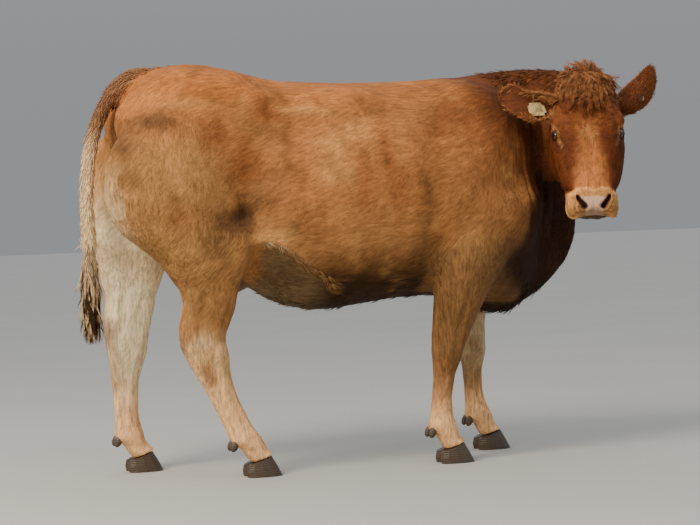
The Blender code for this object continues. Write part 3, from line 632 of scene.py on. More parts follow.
def muzzleForms(p, h):
    # nostrils, nose pad, mouth line and lips; returns the moves in the head's frame
    x, y = h[:, 0], np.abs(h[:, 1])
    move = np.zeros((len(p), 3))
    gap, width, front = nostrilPlace(h)
    pit = ramp(gap, width * 1.20, width * 0.45) * front
    inward = np.array([-0.50, 0.0, -0.866])
    move += (0.018 * pit)[:, None] * inward
    move[:, 1] += 0.005 * pit * np.sign(h[:, 1])
    # the wing outside the nostril stands out, the pad's edge less
    down, out = muzzlePlace(h)
    rim = np.exp(-((gap - width * 1.7) / 0.0050) ** 2) * front * (1 - pit)
    wing = ramp(out - 0.046 + 0.75 * (down - 0.006), -0.004, 0.010)
    move += (rim * (0.0010 + 0.0034 * wing))[:, None] * -inward
    # hollow between the wing and the upper lip
    sunk = bell(out, 0.044, 0.013) * bell(down, 0.034, 0.008) * front
    move += (0.0036 * sunk)[:, None] * inward
    # the raised rim of pale hair round the nose, dipping in its middle
    rise = np.exp(-(noseRing(h) / 0.0075) ** 2) * ramp(x, 0.385, 0.405)
    move += (0.0026 * rise)[:, None] * -inward
    # narrower where the nose meets the face
    move[:, 1] -= 0.007 * bell(down, -0.022, 0.012) * np.sign(h[:, 1]) * ramp(y, 0.050, 0.080)
    # the pad is flat, with a shallow groove down its middle
    groove = bell(y, 0.0, 0.0030) * ramp(x, 0.440, 0.460) * ramp(mouthGap(h), 0.0, 0.006)
    move += (0.0016 * groove)[:, None] * inward
    # the mouth: a crease under the upper lip, which hangs over the narrower jaw
    above = mouthGap(h)
    sides = part["head"] * ramp(x, 0.352, 0.372)
    crease = np.exp(-(above / 0.0036) ** 2) * sides
    out = unit(np.column_stack([np.maximum(x - 0.41, 0) * 1.6, h[:, 1], np.zeros(len(p))]))
    move -= out * (0.0060 * crease)[:, None]
    lip = np.exp(-((above - 0.012) / 0.009) ** 2) * sides
    move += out * (0.0030 * lip)[:, None]
    below = ramp(above, 0.001, -0.008) * sides * ramp(x, 0.355, 0.415)
    move[:, 1] -= 0.15 * below * h[:, 1]
    move[:, 0] -= 0.008 * below
    lobes = bell(y, 0.024, 0.014) * bell(x, 0.455, 0.030) * below
    move[:, 2] -= 0.012 * lobes
    return move * (part["head"] > 0.3)[:, None]


def noseRing(h):
    # distance from the middle line of the pale rim
    flat = np.column_stack(muzzlePlace(h))
    return distanceToPath(flat, ((-0.021, 0.000), (-0.030, 0.028), (-0.026, 0.055),
                                 (-0.008, 0.079), (0.018, 0.088), (0.052, 0.090)))[0]


def lids(h):
    # lids as a shell round each eyeball, with an almond opening that sinks behind its face
    h = h.copy()
    for hand in (1, -1):
        centre = np.array(eyeSet["centre"]) * (1, hand, 1)
        gaze = unit(np.array(eyeSet["gaze"]) * (1, hand, 1))
        tilt = math.radians(eyeSet["tilt"])
        lengthwise = np.array([math.cos(tilt), 0.0, math.sin(tilt)])
        lengthwise = unit(lengthwise - (lengthwise @ gaze) * gaze)
        upward = unit(np.cross(gaze, lengthwise) * hand)
        if upward[2] < 0:
            upward = -upward
        away = h - centre
        r = np.linalg.norm(away, axis=1)
        w = away / np.maximum(r, 1e-9)[:, None]
        s = np.arcsin(np.clip(w @ lengthwise, -1, 1)) * eyeSet["radius"]
        t = np.arcsin(np.clip(w @ upward, -1, 1)) * eyeSet["radius"]
        t = t + 0.10 * s                       # the upper lid is fuller behind
        reach = np.clip(1 - (s / eyeSet["halfLength"]) ** 2, 0, 1) ** 0.75
        edge = np.where(t > 0, t - eyeSet["upper"] * reach, -t - eyeSet["lower"] * reach)
        beyond = np.maximum(np.abs(s) - eyeSet["halfLength"], 0)
        edge = np.where(beyond > 0, np.hypot(edge, beyond), edge)
        radius, lid = eyeSet["radius"], eyeSet["lid"]
        shell = radius + lid - (lid + 0.0050) * ramp(edge, 0.0010, -0.0014)
        crease = 0.0022 * np.exp(-((edge - 0.0085) / 0.0018) ** 2) * (t > 0)
        crease += 0.0014 * np.exp(-((edge - 0.0075) / 0.0020) ** 2) * (t <= 0)
        share = ramp(edge, 0.016, 0.0035) * ramp(r, 0.050, 0.034) * ((w @ gaze) > 0.05)
        target = r * (1 - share) + shell * share - crease * share
        h = np.where((r < 0.05)[:, None], centre + w * target[:, None], h)
    return h


# the ear's own frames, measured on its solid
def earFrames():
    found = {}
    for name in ("left", "right"):
        cloud = pointsOf(nodes["ear_" + name].data)
        middle = cloud.mean(axis=0)
        along = np.linalg.svd(cloud - middle)[2][0]
        if (middle - headPoll) @ along < 0:
            along = -along
        reach = (cloud - middle) @ along
        found[name] = (middle, along, reach.min(), reach.max())
    return found


ears = earFrames()
earMiddles, earAxes = (np.array([ears[name][i] for name in ("left", "right")]) for i in (0, 1))


def earPlace(p):
    # how far along its ear a point lies, 0 to 1, and which ear
    place, which = np.zeros(len(p)), np.zeros(len(p), int)
    best = np.full(len(p), 1e9)
    for i, name in enumerate(("left", "right")):
        middle, along, low, high = ears[name]
        t = ((p - middle) @ along - low) / (high - low)
        d = np.linalg.norm(p - middle, axis=1)
        near = d < best
        best[near], place[near], which[near] = d[near], t[near], i
    return place, which


earTrim = ((0.25, 0.30, 0.98), (0.27, 0.10, 0.85))     # left, right: share, from and to


def earForms(p):
    # narrows each ear from its upper edge, which its solid holds too full
    place, which = earPlace(p)
    lowered = p.copy()
    steps = np.linspace(-0.1, 1.1, 25)
    for i, (amount, start, end) in enumerate(earTrim):
        mine = (which == i) & (part["ear"] > 0.3)
        low = []
        for at in steps:
            there = mine & (np.abs(place - at) < 0.06)
            low.append(p[there, 2].min() if there.any() else np.nan)
        known = ~np.isnan(low)
        floor = np.interp(place, steps[known], np.array(low)[known])
        share = amount * ramp(place, start - 0.35, start) * ramp(place, end, end - 0.25)
        share = share * np.clip(part["ear"] * 1.5 - 0.4, 0, 1) * (which == i)
        lowered[:, 2] -= share * np.maximum(p[:, 2] - floor, 0)
    return lowered


moved = points + normals * (bodyForms(points) + legForms(points) + headForms(points, head)
                            - depth)[:, None]
moved = spread(moved, edges, 1, 0.35)
head = toHead(moved)
head = lids(head + muzzleForms(moved, head))
headish = (part["head"] > 0.05)[:, None]
points = earForms(np.where(headish, fromHead(head), moved))
setPoints(skinMesh, points)
normals = pointsOf(skinMesh, "normal")
head = toHead(points)

print("stage 5: markings, shared by skin and coat")
# the palette: the throat, underside, udder and nostril colours are painted shade; neck, brisket, belly,
# cheek, chin, umber and hollow are a darker coat partly deepened as painted shade; gold is paler hair,
# partly painted highlight
hideAndShadeColours = {
    "russet": "#a96c3c", "back": "#a8642f", "tan": "#9f7242", "neck": "#5f3217",
    "forehead": "#743e1c", "poll": "#9c6740", "bridge": "#ba733d", "cheek": "#57290f",
    "muzzle": "#e9a260", "pad": "#dbb093", "pitAndCreaseShade": "#2c1710", "chin": "#4a3a22",
    "eyeRim": "#a4744b", "lidEdge": "#1f120c", "belly": "#70461f", "brisket": "#301a0c",
    "foreleg": "#7a5733", "shank": "#bd8a5a", "pastern": "#e6b17c", "cream": "#ffe9be",
    "smudge": "#74583e", "hollowCoatAndShade": "#7d5429", "fringe": "#e2c396", "udder": "#77573c",
    "tailTop": "#996d4a", "tail": "#f8d3a6", "switch": "#432c12", "earBack": "#74401f",
    "earCup": "#6b3b22", "earRim": "#c08650", "withers": "#734120", "shoulder": "#734c2a",
    "throat": "#301a0d", "undersideShade": "#2f1d0c", "flankShade": "#776040",
    "hindShank": "#dcae78", "umber": "#4d3219", "gold": "#cf9757", "rust": "#8a4a24",
    "noseHair": "#b27e4b", "lip": "#8a7154", "nostrilShade": "#7a553c",
}

# placed patches of the coat on the near side: x, height, half sizes, tilt, colour, share
# the dark ones in the flank's hollow, in the valley before the hip, behind the shoulder and at the
# elbow are painted shade; the gold ones are paler hair, partly painted highlight where edges catch the
# light
patches = (
    (-0.770, 1.180, 0.085, 0.040, 8, "umber", 0.80),
    (-0.860, 1.110, 0.060, 0.080, 0, "umber", 0.45),
    # the next four: painted shade in the flank's hollow and along the streak above it
    (-0.440, 0.925, 0.140, 0.055, 38, "umber", 0.50),
    (-0.500, 0.850, 0.095, 0.056, 20, "umber", 0.72),
    (-0.500, 0.850, 0.062, 0.044, 15, "throat", 0.48),
    (-0.545, 0.835, 0.090, 0.060, 10, "umber", 0.30),
    (0.400, 1.070, 0.065, 0.110, 0, "withers", 0.65),
    (-0.600, 0.750, 0.060, 0.060, 0, "umber", 0.40),
    (-0.585, 0.900, 0.080, 0.055, 20, "umber", 0.30),
    (-0.577, 1.126, 0.065, 0.055, 0, "rust", 0.50),
    (-0.477, 1.059, 0.060, 0.080, -10, "rust", 0.50),
    # the next two: painted shade on the shaded side of the valley before the hip
    (-0.385, 1.180, 0.026, 0.100, -4, "umber", 0.45),
    (-0.339, 1.100, 0.026, 0.070, 0, "umber", 0.28),
    (-0.304, 0.841, 0.070, 0.065, 0, "umber", 0.35),
    (-0.099, 1.055, 0.022, 0.120, 0, "rust", 0.45),
    (-0.005, 1.070, 0.026, 0.120, 0, "rust", 0.45),
    (-0.088, 0.944, 0.030, 0.090, 0, "rust", 0.35),
    (0.031, 0.940, 0.030, 0.110, 0, "rust", 0.40),
    # painted shade behind the shoulder
    (0.128, 0.875, 0.036, 0.110, 0, "umber", 0.40),
    (-0.668, 0.470, 0.035, 0.030, 20, "rust", 0.55),
    (-0.588, 0.385, 0.030, 0.040, 0, "umber", 0.35),
    (-0.640, 0.560, 0.060, 0.060, 0, "umber", 0.30),
    # painted shade in the elbow's crease
    (0.115, 0.690, 0.055, 0.080, 0, "umber", 0.60),
    (-0.705, 0.859, 0.080, 0.060, 0, "rust", 0.30),
    # gold: paler hair, partly painted highlight along lit edges
    (-0.270, 1.205, 0.130, 0.018, -6, "gold", 0.40),
    (-0.179, 1.090, 0.055, 0.060, 20, "gold", 0.30),
    (-0.470, 1.200, 0.045, 0.070, 30, "gold", 0.30),
    (-0.434, 0.784, 0.060, 0.026, 15, "gold", 0.35),
    (-0.727, 1.050, 0.090, 0.060, 0, "gold", 0.25),
    (0.245, 1.185, 0.110, 0.060, 0, "withers", 0.60),
    (0.240, 1.120, 0.110, 0.060, 0, "rust", 0.40),
    (-0.418, 1.205, 0.060, 0.045, 0, "rust", 0.60),
    (-0.190, 1.000, 0.070, 0.060, 0, "gold", 0.50),
    (-0.385, 0.800, 0.060, 0.030, 0, "gold", 0.40),
    (-0.100, 1.130, 0.060, 0.050, 0, "gold", 0.40),
    (-0.880, 1.085, 0.040, 0.090, 0, "umber", 0.40),
    (0.198, 0.810, 0.045, 0.070, 0, "rust", 0.30),
    (0.300, 0.735, 0.070, 0.060, 0, "gold", 0.22),
    (-0.640, 1.230, 0.120, 0.026, -6, "gold", 0.25),
)
hideAndShadeLinear = {name: linear(value) for name, value in hideAndShadeColours.items()}


def mixed(colour, name, share):
    return colour + (hideAndShadeLinear[name] - colour) * np.clip(share, 0, 1)[:, None]


def padMask(h):
    # the bare pad between the nostrils, narrowing to the middle of the upper lip
    down, out = muzzlePlace(h)
    half = np.interp(down, (-0.008, 0.002, 0.012, 0.020, 0.028, 0.050),
                     (0.046, 0.044, 0.036, 0.029, 0.026, 0.030))
    return ramp(out, half + 0.003, half - 0.004) * ramp(down, -0.008, 0.000) \
        * ramp(mouthGap(h), -0.002, 0.006) * ramp(h[:, 0], 0.400, 0.415)


def nostrilMask(h):
    gap, half, front = nostrilPlace(h)
    return ramp(gap, half * 1.15, half * 0.55) * front


earFacing = {"left": (-0.40, 0.20, -0.90), "right": (0.36, 0.0, 0.90)}   # in the head's frame


def earInside(p, n):
    # 1 where the ear's own cup faces, -1 on its back
    facing = unit(np.array([earFacing["left"], earFacing["right"]]) @ headAxes)
    return (unit(n) * facing[earPlace(p)[1]]).sum(1)


def lidMasks(h):
    # the dark lid edge, the pale streak of the inner lid, and the tear line under it
    rim = np.zeros(len(h))
    for hand in (1, -1):
        r = np.linalg.norm(h - np.array(eyeSet["centre"]) * (1, hand, 1), axis=1)
        rim = np.maximum(rim, ramp(r, 0.0232, 0.0216))
    flat = np.column_stack([h[:, 0], np.abs(h[:, 1])])
    gap, along = distanceToPath(flat, ((0.172, 0.118), (0.184, 0.108), (0.206, 0.102),
                                       (0.230, 0.099), (0.250, 0.092)))
    near = ramp(h[:, 2], -0.080, -0.060)
    ragged = gap + 0.0025 * noiseAt(h, 0.008, 26)
    streak = ramp(ragged, 0.0085, 0.0015) * near * (1 - 0.4 * along)
    gap, along = distanceToPath(flat, ((0.222, 0.110), (0.262, 0.103)))
    return rim, streak, ramp(gap, 0.0080, 0.0020) * near * (1 - 0.5 * along)


def markShare(mark, x, z, shoreline):
    # a soft blotch: where, its half sizes, its tilt, its colour and how strong it is
    px, pz, wide, tall, tilt = mark[:5]
    c, t = math.cos(math.radians(tilt)), math.sin(math.radians(tilt))
    dx, dz = x - px, z - pz
    gap = np.hypot((dx * c + dz * t) / wide, (dz * c - dx * t) / tall)
    return ramp(gap + shoreline, 1.55, 0.05) * mark[6]


# low on the near side (-1) and on the far one (1)
limbMarks = (
    (-1, (-0.706, 0.440, 0.022, 0.040, 0, "smudge", 0.80)),
    (-1, (-0.645, 0.445, 0.034, 0.036, 0, "fringe", 0.42)),
    # painted shade under the elbow
    (-1, (0.205, 0.530, 0.055, 0.090, 0, "umber", 0.35)),
    # painted shade under the neck, over the brisket
    (-1, (0.520, 0.625, 0.090, 0.080, 0, "throat", 0.85)),
    (-1, (-0.622, 0.362, 0.024, 0.052, 30, "rust", 0.60)),
    (-1, (-0.612, 0.330, 0.020, 0.030, 0, "smudge", 0.60)),
    (1, (-0.880, 0.480, 0.034, 0.070, 0, "smudge", 0.75)),
    (1, (-0.885, 0.600, 0.026, 0.070, 0, "tan", 0.60)),
    (1, (-0.862, 0.330, 0.022, 0.090, 0, "tan", 0.55)),
)


def markingsAndShade(p, n, h, w):
    x, y, z = p[:, 0], p[:, 1] - midline, p[:, 2]
    a = np.abs(y)
    colour = np.tile(hideAndShadeLinear["russet"], (len(p), 1))

    def paint(name, share):
        colour[:] = mixed(colour, name, share)

    patch = noiseAt(p, 0.17, 21)
    paint("back", ramp(z + 0.04 * patch, 1.14, 1.30) * 0.9)
    rear = ramp(x + 0.06 * patch, -0.46, -0.66)
    paint("tan", rear * ramp(z, 1.22, 1.00) * 0.85)
    paint("tan", ramp(z + 0.05 * patch, 0.95, 0.74) * 0.55)
    # lower flanks: a darker coat, partly painted shade
    paint("belly", ramp(z, 0.74, 0.62) * ramp(x, 0.30, 0.18) * ramp(x, -0.42, -0.32))
    fore = ramp(x + 0.05 * patch, 0.06, 0.42)
    paint("withers", fore * ramp(z, 0.98, 1.16) * (0.85 - 0.40 * ramp(z, 1.22, 1.30)))
    paint("shoulder", fore * ramp(z, 1.10, 0.96) * 0.65)
    # the neck: a darker coat, deepened as painted shade where the turned head shades it, less on the
    # far side; then painted shadow in the pocket between the head and the shoulder
    far = ramp(y + 0.03 * patch, 0.00, 0.16)
    paint("neck", (0.6 * neckShare(p, 0.07) + 0.35 * neckShare(p, 0.02)) * (1 - 0.55 * far))
    forward = -0.03 - 0.05 * ramp(z, 0.86, 1.02)
    paint("throat", neckShare(p, forward) * ramp(z, 1.16, 0.98)
          * ramp(z, 0.56, 0.74) * 0.9 * (1 - 0.85 * far))
    # a darker coat under the chest, deepened as painted shade
    paint("brisket", ramp(x, 0.34, 0.50) * ramp(z, 0.80, 0.66) * 0.75)
    # a darker coat and painted shade along the valley before the thigh and behind the shoulder
    gap, along = distanceToPath(p * (1, 0, 1), ((-0.375, 0, 1.250), (-0.440, 0, 1.120),
                                                (-0.478, 0, 0.880)))
    paint("hollowCoatAndShade", np.exp(-(gap / 0.050) ** 2) * (0.35 + 0.45 * along) * ramp(a, 0.10, 0.16))
    gap, along = distanceToPath(p * (1, 0, 1), ((0.185, 0, 1.180), (0.150, 0, 0.900),
                                                (0.165, 0, 0.640)))
    paint("hollowCoatAndShade", np.exp(-(gap / 0.055) ** 2) * (0.20 + 0.65 * along ** 2)
          * ramp(a, 0.10, 0.16))
    edge = z - np.interp(x, flankEdge[0], flankEdge[1])
    under = ramp(edge, 0.002, -0.010) * ramp(x, -0.50, -0.44) * ramp(x, -0.16, -0.26)
    # painted shade: darker low on the barrel, under the belly and under the flank's fold, less on the
    # far side
    paint("umber", ramp(z + 0.03 * patch, 0.80, 0.64) * w["trunk"] * 0.55
          * ramp(x, -0.30, -0.18) * ramp(x, 0.22, 0.12))
    paint("undersideShade", ramp(z + 0.012 * noiseAt(p, 0.04, 22), 0.690, 0.62) * w["trunk"] * 0.9)
    paint("flankShade", under * ramp(a, 0.30, 0.26) * (1 - w["thigh"]) * (0.9 - 0.7 * far))
    paint("undersideShade", under * ramp(z, 0.60, 0.55) * (0.5 - 0.3 * far))
    # broken, slightly darker upright bands over the ribs
    bands = ramp(noiseAt(p * (1, 0, 0.22), 0.042, 33), 0.05, 0.75)
    paint("rust", bands * ramp(x, -0.36, -0.24) * ramp(x, 0.16, 0.06) * bell(z, 1.10, 0.20) * 0.5)
    # blotches: everywhere small ones, and the placed ones on the near side, among them painted shade in
    # hollows and creases and painted highlight on lit edges
    speckle = noiseAt(p, 0.055, 36) + 0.6 * noiseAt(p, 0.024, 37)
    torso = np.clip(w["trunk"] + w["thigh"], 0, 1) * (1 - neckShare(p))
    paint("umber", torso * ramp(speckle, 0.15, 1.30) * 0.40)
    paint("gold", torso * ramp(-speckle, 0.25, 1.40) * 0.30)
    shoreline = 0.35 * noiseAt(p, 0.045, 38) + 0.25 * noiseAt(p, 0.018, 39)
    for mark in patches:
        paint(mark[5], markShare(mark, x, z, shoreline) * ramp(y, -0.08, -0.14) * (1 - w["head"]))
    # hind limbs: cream inside and behind, buff below the hock
    inner = ramp(-n[:, 1] * np.sign(y), -0.15, 0.45) * ramp(z, 1.00, 0.80)
    paint("cream", inner * (w["thigh"] + w["hind_shank"]
                            + 0.8 * w["trunk"] * ramp(x, -0.50, -0.62)))
    paint("tan", inner * w["thigh"] * ramp(z, 0.60, 0.78) * 0.55)
    behind = ramp(-n[:, 0], 0.45, 0.95) * ramp(z, 1.08, 0.84) * ramp(x, -0.76, -0.86)
    paint("fringe", behind * 0.7)
    paint("hindShank", w["hind_shank"] * ramp(z, 0.52, 0.42) * (1 - inner * 0.8))
    paint("foreleg", w["forearm"] * 0.8)
    paint("foreleg", w["fore_shank"] * 0.9)
    paint("fringe", (w["forearm"] + w["fore_shank"]) * ramp(y, 0.0, 0.05)
          * ramp(-n[:, 1], -0.35, 0.30)
          * ramp(z, 0.62, 0.45) * (0.25 + 0.40 * ramp(z, 0.26, 0.36)))
    paint("shank", w["fore_shank"] * ramp(z, 0.36, 0.18) * 0.75)
    paint("pastern", w["fore_shank"] * ramp(z, 0.24, 0.14)
          + w["hind_shank"] * ramp(z, 0.40, 0.16))
    # reddish shading round the joints
    joints = ramp(noiseAt(p, 0.040, 40), -0.2, 0.9)
    paint("rust", joints * 0.55 * (w["hind_shank"] * bell(z, 0.455, 0.075)
                                   + w["fore_shank"] * bell(z, 0.380, 0.060)))
    for hand, mark in limbMarks:
        paint(mark[5], markShare(mark, x, z, shoreline)
              * ramp(hand * y, 0.00, 0.04) * (1 - w["head"]))
    knee = (w["fore_shank"] + w["hind_shank"]) * np.clip(noiseAt(p, 0.05, 23) - 0.1, 0, 1)
    paint("smudge", knee * 0.5 * bell(z, 0.38, 0.14))
    # tail, and the udder, dark brown as painted shade between the thighs
    paint("tailTop", w["tail"] * 1.2)
    paint("tail", w["tail"] * ramp(z, 1.22, 1.06) * 1.2)
    paint("udder", w["udder"] * 1.3)
    # head
    hx, hy, hz = h[:, 0], np.abs(h[:, 1]), h[:, 2]
    face = np.clip(w["head"] * 1.3, 0, 1)
    paint("forehead", face)
    ragged = hy + 0.010 * noiseAt(p, 0.030, 24)
    wide = np.interp(hx, (0.15, 0.24, 0.42), (0.060, 0.066, 0.094))
    front = ramp(ragged, wide, wide - 0.052) * ramp(hz, -0.090, -0.050)
    paint("bridge", face * front * ramp(hx, 0.13, 0.22) * 0.55)
    paint("bridge", face * front * ramp(hx, 0.27, 0.40) * 0.8)
    # cheeks: a darker coat, partly painted shade on the sides of the face
    paint("cheek", face * (1 - front) * ramp(hx, 0.14, 0.24) * 0.85)
    paint("poll", face * ramp(hx, 0.13, 0.03) * 0.8)
    streaks = noiseAt(p * (1, 1, 0.6), 0.012, 35)
    colour *= (1 + 0.12 * face * streaks)[:, None]
    rim, streak, tear = lidMasks(h)
    paint("eyeRim", face * streak * 0.62)
    paint("throat", face * tear * 0.7)
    # nose: tawny inside a pale rim, a pinkish pad, painted shade in the nostrils and the mouth line,
    # and a lower lip and chin darkened partly as painted shade
    down, out = muzzlePlace(h)
    ring = noseRing(h) + 0.003 * noiseAt(p, 0.012, 25) + 0.002 * noiseAt(p, 0.005, 30)
    inside = np.maximum(ramp(down, -0.024, -0.012) * ramp(out, 0.092, 0.080) * ramp(hx, 0.39, 0.41),
                        ramp(hx + 0.008 * noiseAt(p, 0.02, 26), 0.405, 0.430))
    paint("noseHair", face * inside)
    upper = 1 - 0.45 * ramp(down, 0.000, 0.025)
    upper = upper * (1 - 0.40 * bell(out, 0.0, 0.030))
    paint("muzzle", face * ramp(ring, 0.0115, 0.0010) * ramp(hx, 0.37, 0.395) * upper)
    above = mouthGap(h)
    lipShare = bell(above, 0.012, 0.010) * ramp(out, 0.040, 0.060) * ramp(hx, 0.370, 0.400)
    paint("muzzle", face * lipShare * 0.9)
    middle = ramp(above, 0.030, 0.012) * ramp(out, 0.058, 0.040) * ramp(hx, 0.44, 0.46)
    paint("lip", face * middle * 0.8)
    gap, half, front = nostrilPlace(h)
    paint("nostrilShade", face * front * ramp(gap, half * 2.3, half) * 0.75
          * ramp(down + 0.3 * (out - 0.04), 0.000, 0.016))
    pad = face * padMask(h)
    paint("pad", pad)
    paint("lip", pad * ramp(down, 0.026, 0.044) * 0.6)
    # painted shade inside the nostrils
    paint("pitAndCreaseShade", face * nostrilMask(h))
    # chin and lower lip: darker, partly painted shade under the jaw
    paint("chin", face * ramp(hx, 0.34, 0.38) * ramp(above, 0.002, -0.005) * 0.9)
    # painted shade in the crease of the mouth
    mouth = face * np.exp(-(above / 0.0034) ** 2) * ramp(hx, 0.350, 0.365)
    paint("pitAndCreaseShade", mouth * 0.85)
    paint("lidEdge", face * rim)
    # ears: dark cup, paler rim
    ear = np.clip(w["ear"] * 1.3, 0, 1)
    inside = earInside(p, n)
    paint("earBack", ear)
    paint("earCup", ear * ramp(inside, 0.25, 0.60))
    paint("earRim", ear * bell(inside, 0.16, 0.30) * 0.9)
    # mottling of the whole coat
    tone = 1.0 + 0.08 * noiseAt(p, 0.11, 27) + 0.09 * noiseAt(p, 0.034, 28) \
        + 0.07 * noiseAt(p, 0.013, 34)
    tone = np.where(pad > 0.5, 1.0 + 0.10 * noiseAt(p, 0.010, 29), tone)
    return np.clip(colour * tone[:, None], 0.0, 1.0)


def bareness(h, w):
    rim = lidMasks(h)[0]
    face = np.clip(w["head"] * 1.3, 0, 1)
    lips = np.exp(-(mouthGap(h) / 0.006) ** 2) * ramp(h[:, 0], 0.360, 0.380)
    return np.clip(face * np.maximum.reduce([padMask(h), nostrilMask(h), rim, lips])
                   + w["udder"] * 1.4, 0, 1)


coatAndShadeColour = markingsAndShade(points, normals, head, part)
bare = bareness(head, part)

print("stage 6: the lie of the coat and its unwrap")
tailPath = ((-0.700, 1.352), (-0.790, 1.340), (-0.850, 1.300), (-0.898, 1.228), (-0.937, 1.140),
            (-0.959, 1.020), (-0.965, 0.890), (-0.962, 0.770), (-0.963, 0.600), (-0.960, 0.450))
whorl = (0.214, 0.0)       # in the head's frame, between the eyes


def coatLie(p, n, h, w):
    x, z = p[:, 0], p[:, 2]
    n = unit(n)
    legs = w["forearm"] + w["fore_shank"] + w["hind_shank"] + w["thigh"] * 0.7
    turns = (          # back, rump, chest, neck, legs, belly
        ((-1.0, 0.0, -0.02), ramp(n[:, 2], 0.45, 0.85)),
        ((-0.35, 0.0, -0.95), ramp(x, -0.45, -0.75) * ramp(z, 1.32, 1.15)),
        ((-0.45, 0.0, -0.90), ramp(x, 0.15, 0.42) * ramp(z, 1.25, 0.95)),
        ((-0.62, 0.25, -0.72), neckShare(p)),
        ((-0.16, 0.0, -1.0), np.clip(legs, 0, 1)),
        ((-1.0, 0.0, 0.0), ramp(-n[:, 2], 0.3, 0.8) * ramp(z, 0.75, 0.60)))
    lie = np.tile((-0.92, 0.0, -0.40), (len(p), 1))
    for direction, share in turns:
        lie = mixTo(lie, np.array(direction), share)
    # tail: down its own curve
    path = np.array(tailPath)
    step = np.gradient(path, axis=0)
    order = np.argsort(path[:, 1])
    tx = np.interp(z, path[order, 1], step[order, 0])
    tz = np.interp(z, path[order, 1], step[order, 1])
    down = unit(np.column_stack([tx, np.zeros(len(p)), tz]))
    lie = mixTo(lie, down, np.clip(w["tail"] * 1.5, 0, 1))
    # head: round the whorl, forwards from the poll, back over the cheeks
    hx, hy, hz = h[:, 0], h[:, 1], h[:, 2]
    around = np.column_stack([hx - whorl[0], hy * 1.2, np.zeros(len(p))])
    around = unit(around + 1e-4)
    forelock = np.column_stack([np.ones(len(p)), 0.8 * hy / 0.1, -0.3 * np.ones(len(p))])
    cheek = np.column_stack([-0.55 * np.ones(len(p)), 0.1 * np.sign(hy), -0.8 * np.ones(len(p))])
    face = mixTo(around, unit(forelock), ramp(hx, 0.115, 0.065))
    face = mixTo(face, unit(cheek), ramp(hz, -0.070, -0.110) * ramp(hx, 0.02, 0.10))
    lie = mixTo(lie, face @ headAxes, np.clip(w["head"] * 1.2, 0, 1))
    lie = mixTo(lie, earAxes[earPlace(p)[1]], np.clip(w["ear"] * 1.3, 0, 1))
    # swirls in the coat
    turn = 0.42 * noiseAt(p, 0.085, 31) + 0.26 * noiseAt(p, 0.026, 32)
    lie = unit(lie)
    lie = unit(lie - (lie * n).sum(1, keepdims=True) * n)
    across = np.cross(n, lie)
    return unit(lie * np.cos(turn)[:, None] + across * np.sin(turn)[:, None])


unwrapSet = {"trunkAxis": 0.95,      # height of the trunk's long axis
             "legApart": 0.175}      # from the midline to a leg's axis


def unwrap(p, h, region):
    # each region has its own cell of the map, cut round its own long axis
    u, v = np.zeros(len(p)), np.zeros(len(p))
    x, y, z = p[:, 0], p[:, 1] - midline, p[:, 2]
    turn = np.arctan2(y, z - unwrapSet["trunkAxis"]) / (2 * math.pi) + 0.5
    u[:], v[:] = 0.01 + 0.60 * (x + 1.0) / 2.0, 0.01 + 0.58 * turn
    head = region == regionNames.index("head")
    turn = np.arctan2(h[:, 1], h[:, 2] + 0.09) / (2 * math.pi) + 0.5
    u[head] = (0.63 + 0.36 * (h[:, 0] + 0.12) / 0.64)[head]
    v[head] = (0.01 + 0.40 * turn)[head]
    place, which = earPlace(p)
    ear = region == regionNames.index("ear")
    for i in (0, 1):
        mine = ear & (which == i)
        off = (p - earMiddles[i]) @ headAxes.T
        u[mine] = (0.63 + 0.17 * np.clip(place, 0, 1) + 0.18 * i)[mine]
        v[mine] = (0.50 + 0.60 * off[:, 2])[mine]
    tail = region == regionNames.index("tail")
    around = np.arctan2(y, x - np.interp(z, *np.array(sorted((b, a) for a, b in tailPath)).T))
    u[tail] = (0.63 + 0.36 * (around / (2 * math.pi) + 0.5))[tail]
    v[tail] = (0.62 + 0.30 * (z - 0.40))[tail]
    for i, ((which, hand), line) in enumerate(legLines.items()):
        names = (("hind_shank", "thigh") if which == "hind" else ("fore_shank", "forearm"))
        mine = np.isin(region, [regionNames.index(k) for k in names]) & (np.sign(y) == hand)
        around = np.arctan2(y - hand * unwrapSet["legApart"], x - lineAt(z, line)) / (2 * math.pi) + 0.5
        u[mine] = (0.01 + 0.15 * i + 0.14 * around)[mine]
        v[mine] = (0.61 + 0.37 * z)[mine]
    return np.column_stack([np.clip(u, 0.002, 0.998), np.clip(v, 0.002, 0.998)])


lie = coatLie(points, normals, head, part)
region = np.argmax(weights, axis=1)
skinMesh.calc_loop_triangles()
skinTriangles = np.empty(len(skinMesh.loop_triangles) * 3, np.int32)
skinMesh.loop_triangles.foreach_get("vertices", skinTriangles)
skinTriangles = skinTriangles.reshape(-1, 3)
corner = points[skinTriangles]
triangleArea = np.linalg.norm(np.cross(corner[:, 1] - corner[:, 0], corner[:, 2] - corner[:, 0]),
                              axis=1) / 2
print("   skin triangles", len(skinTriangles), "area", round(float(triangleArea.sum()), 3))


def scatter(mask, count, seed):
    # roots spread over the skin, as thick as the mask says
    rng = np.random.default_rng(seed)
    chance = triangleArea * np.clip(mask, 0, None)[skinTriangles].mean(axis=1)
    chosen = rng.choice(len(chance), size=count, p=chance / chance.sum())
    a, b = rng.random(count), rng.random(count)
    over = a + b > 1
    a[over], b[over] = 1 - a[over], 1 - b[over]
    share = np.column_stack([1 - a - b, a, b])
    return skinTriangles[chosen], share, rng


def blended(values, corners, share):
    if values.ndim == 1:
        return (values[corners] * share).sum(1)
    return (values[corners] * share[:, :, None]).sum(1)


def seedOf(name):
    return 100 + sum(ord(letter) for letter in name) % 89


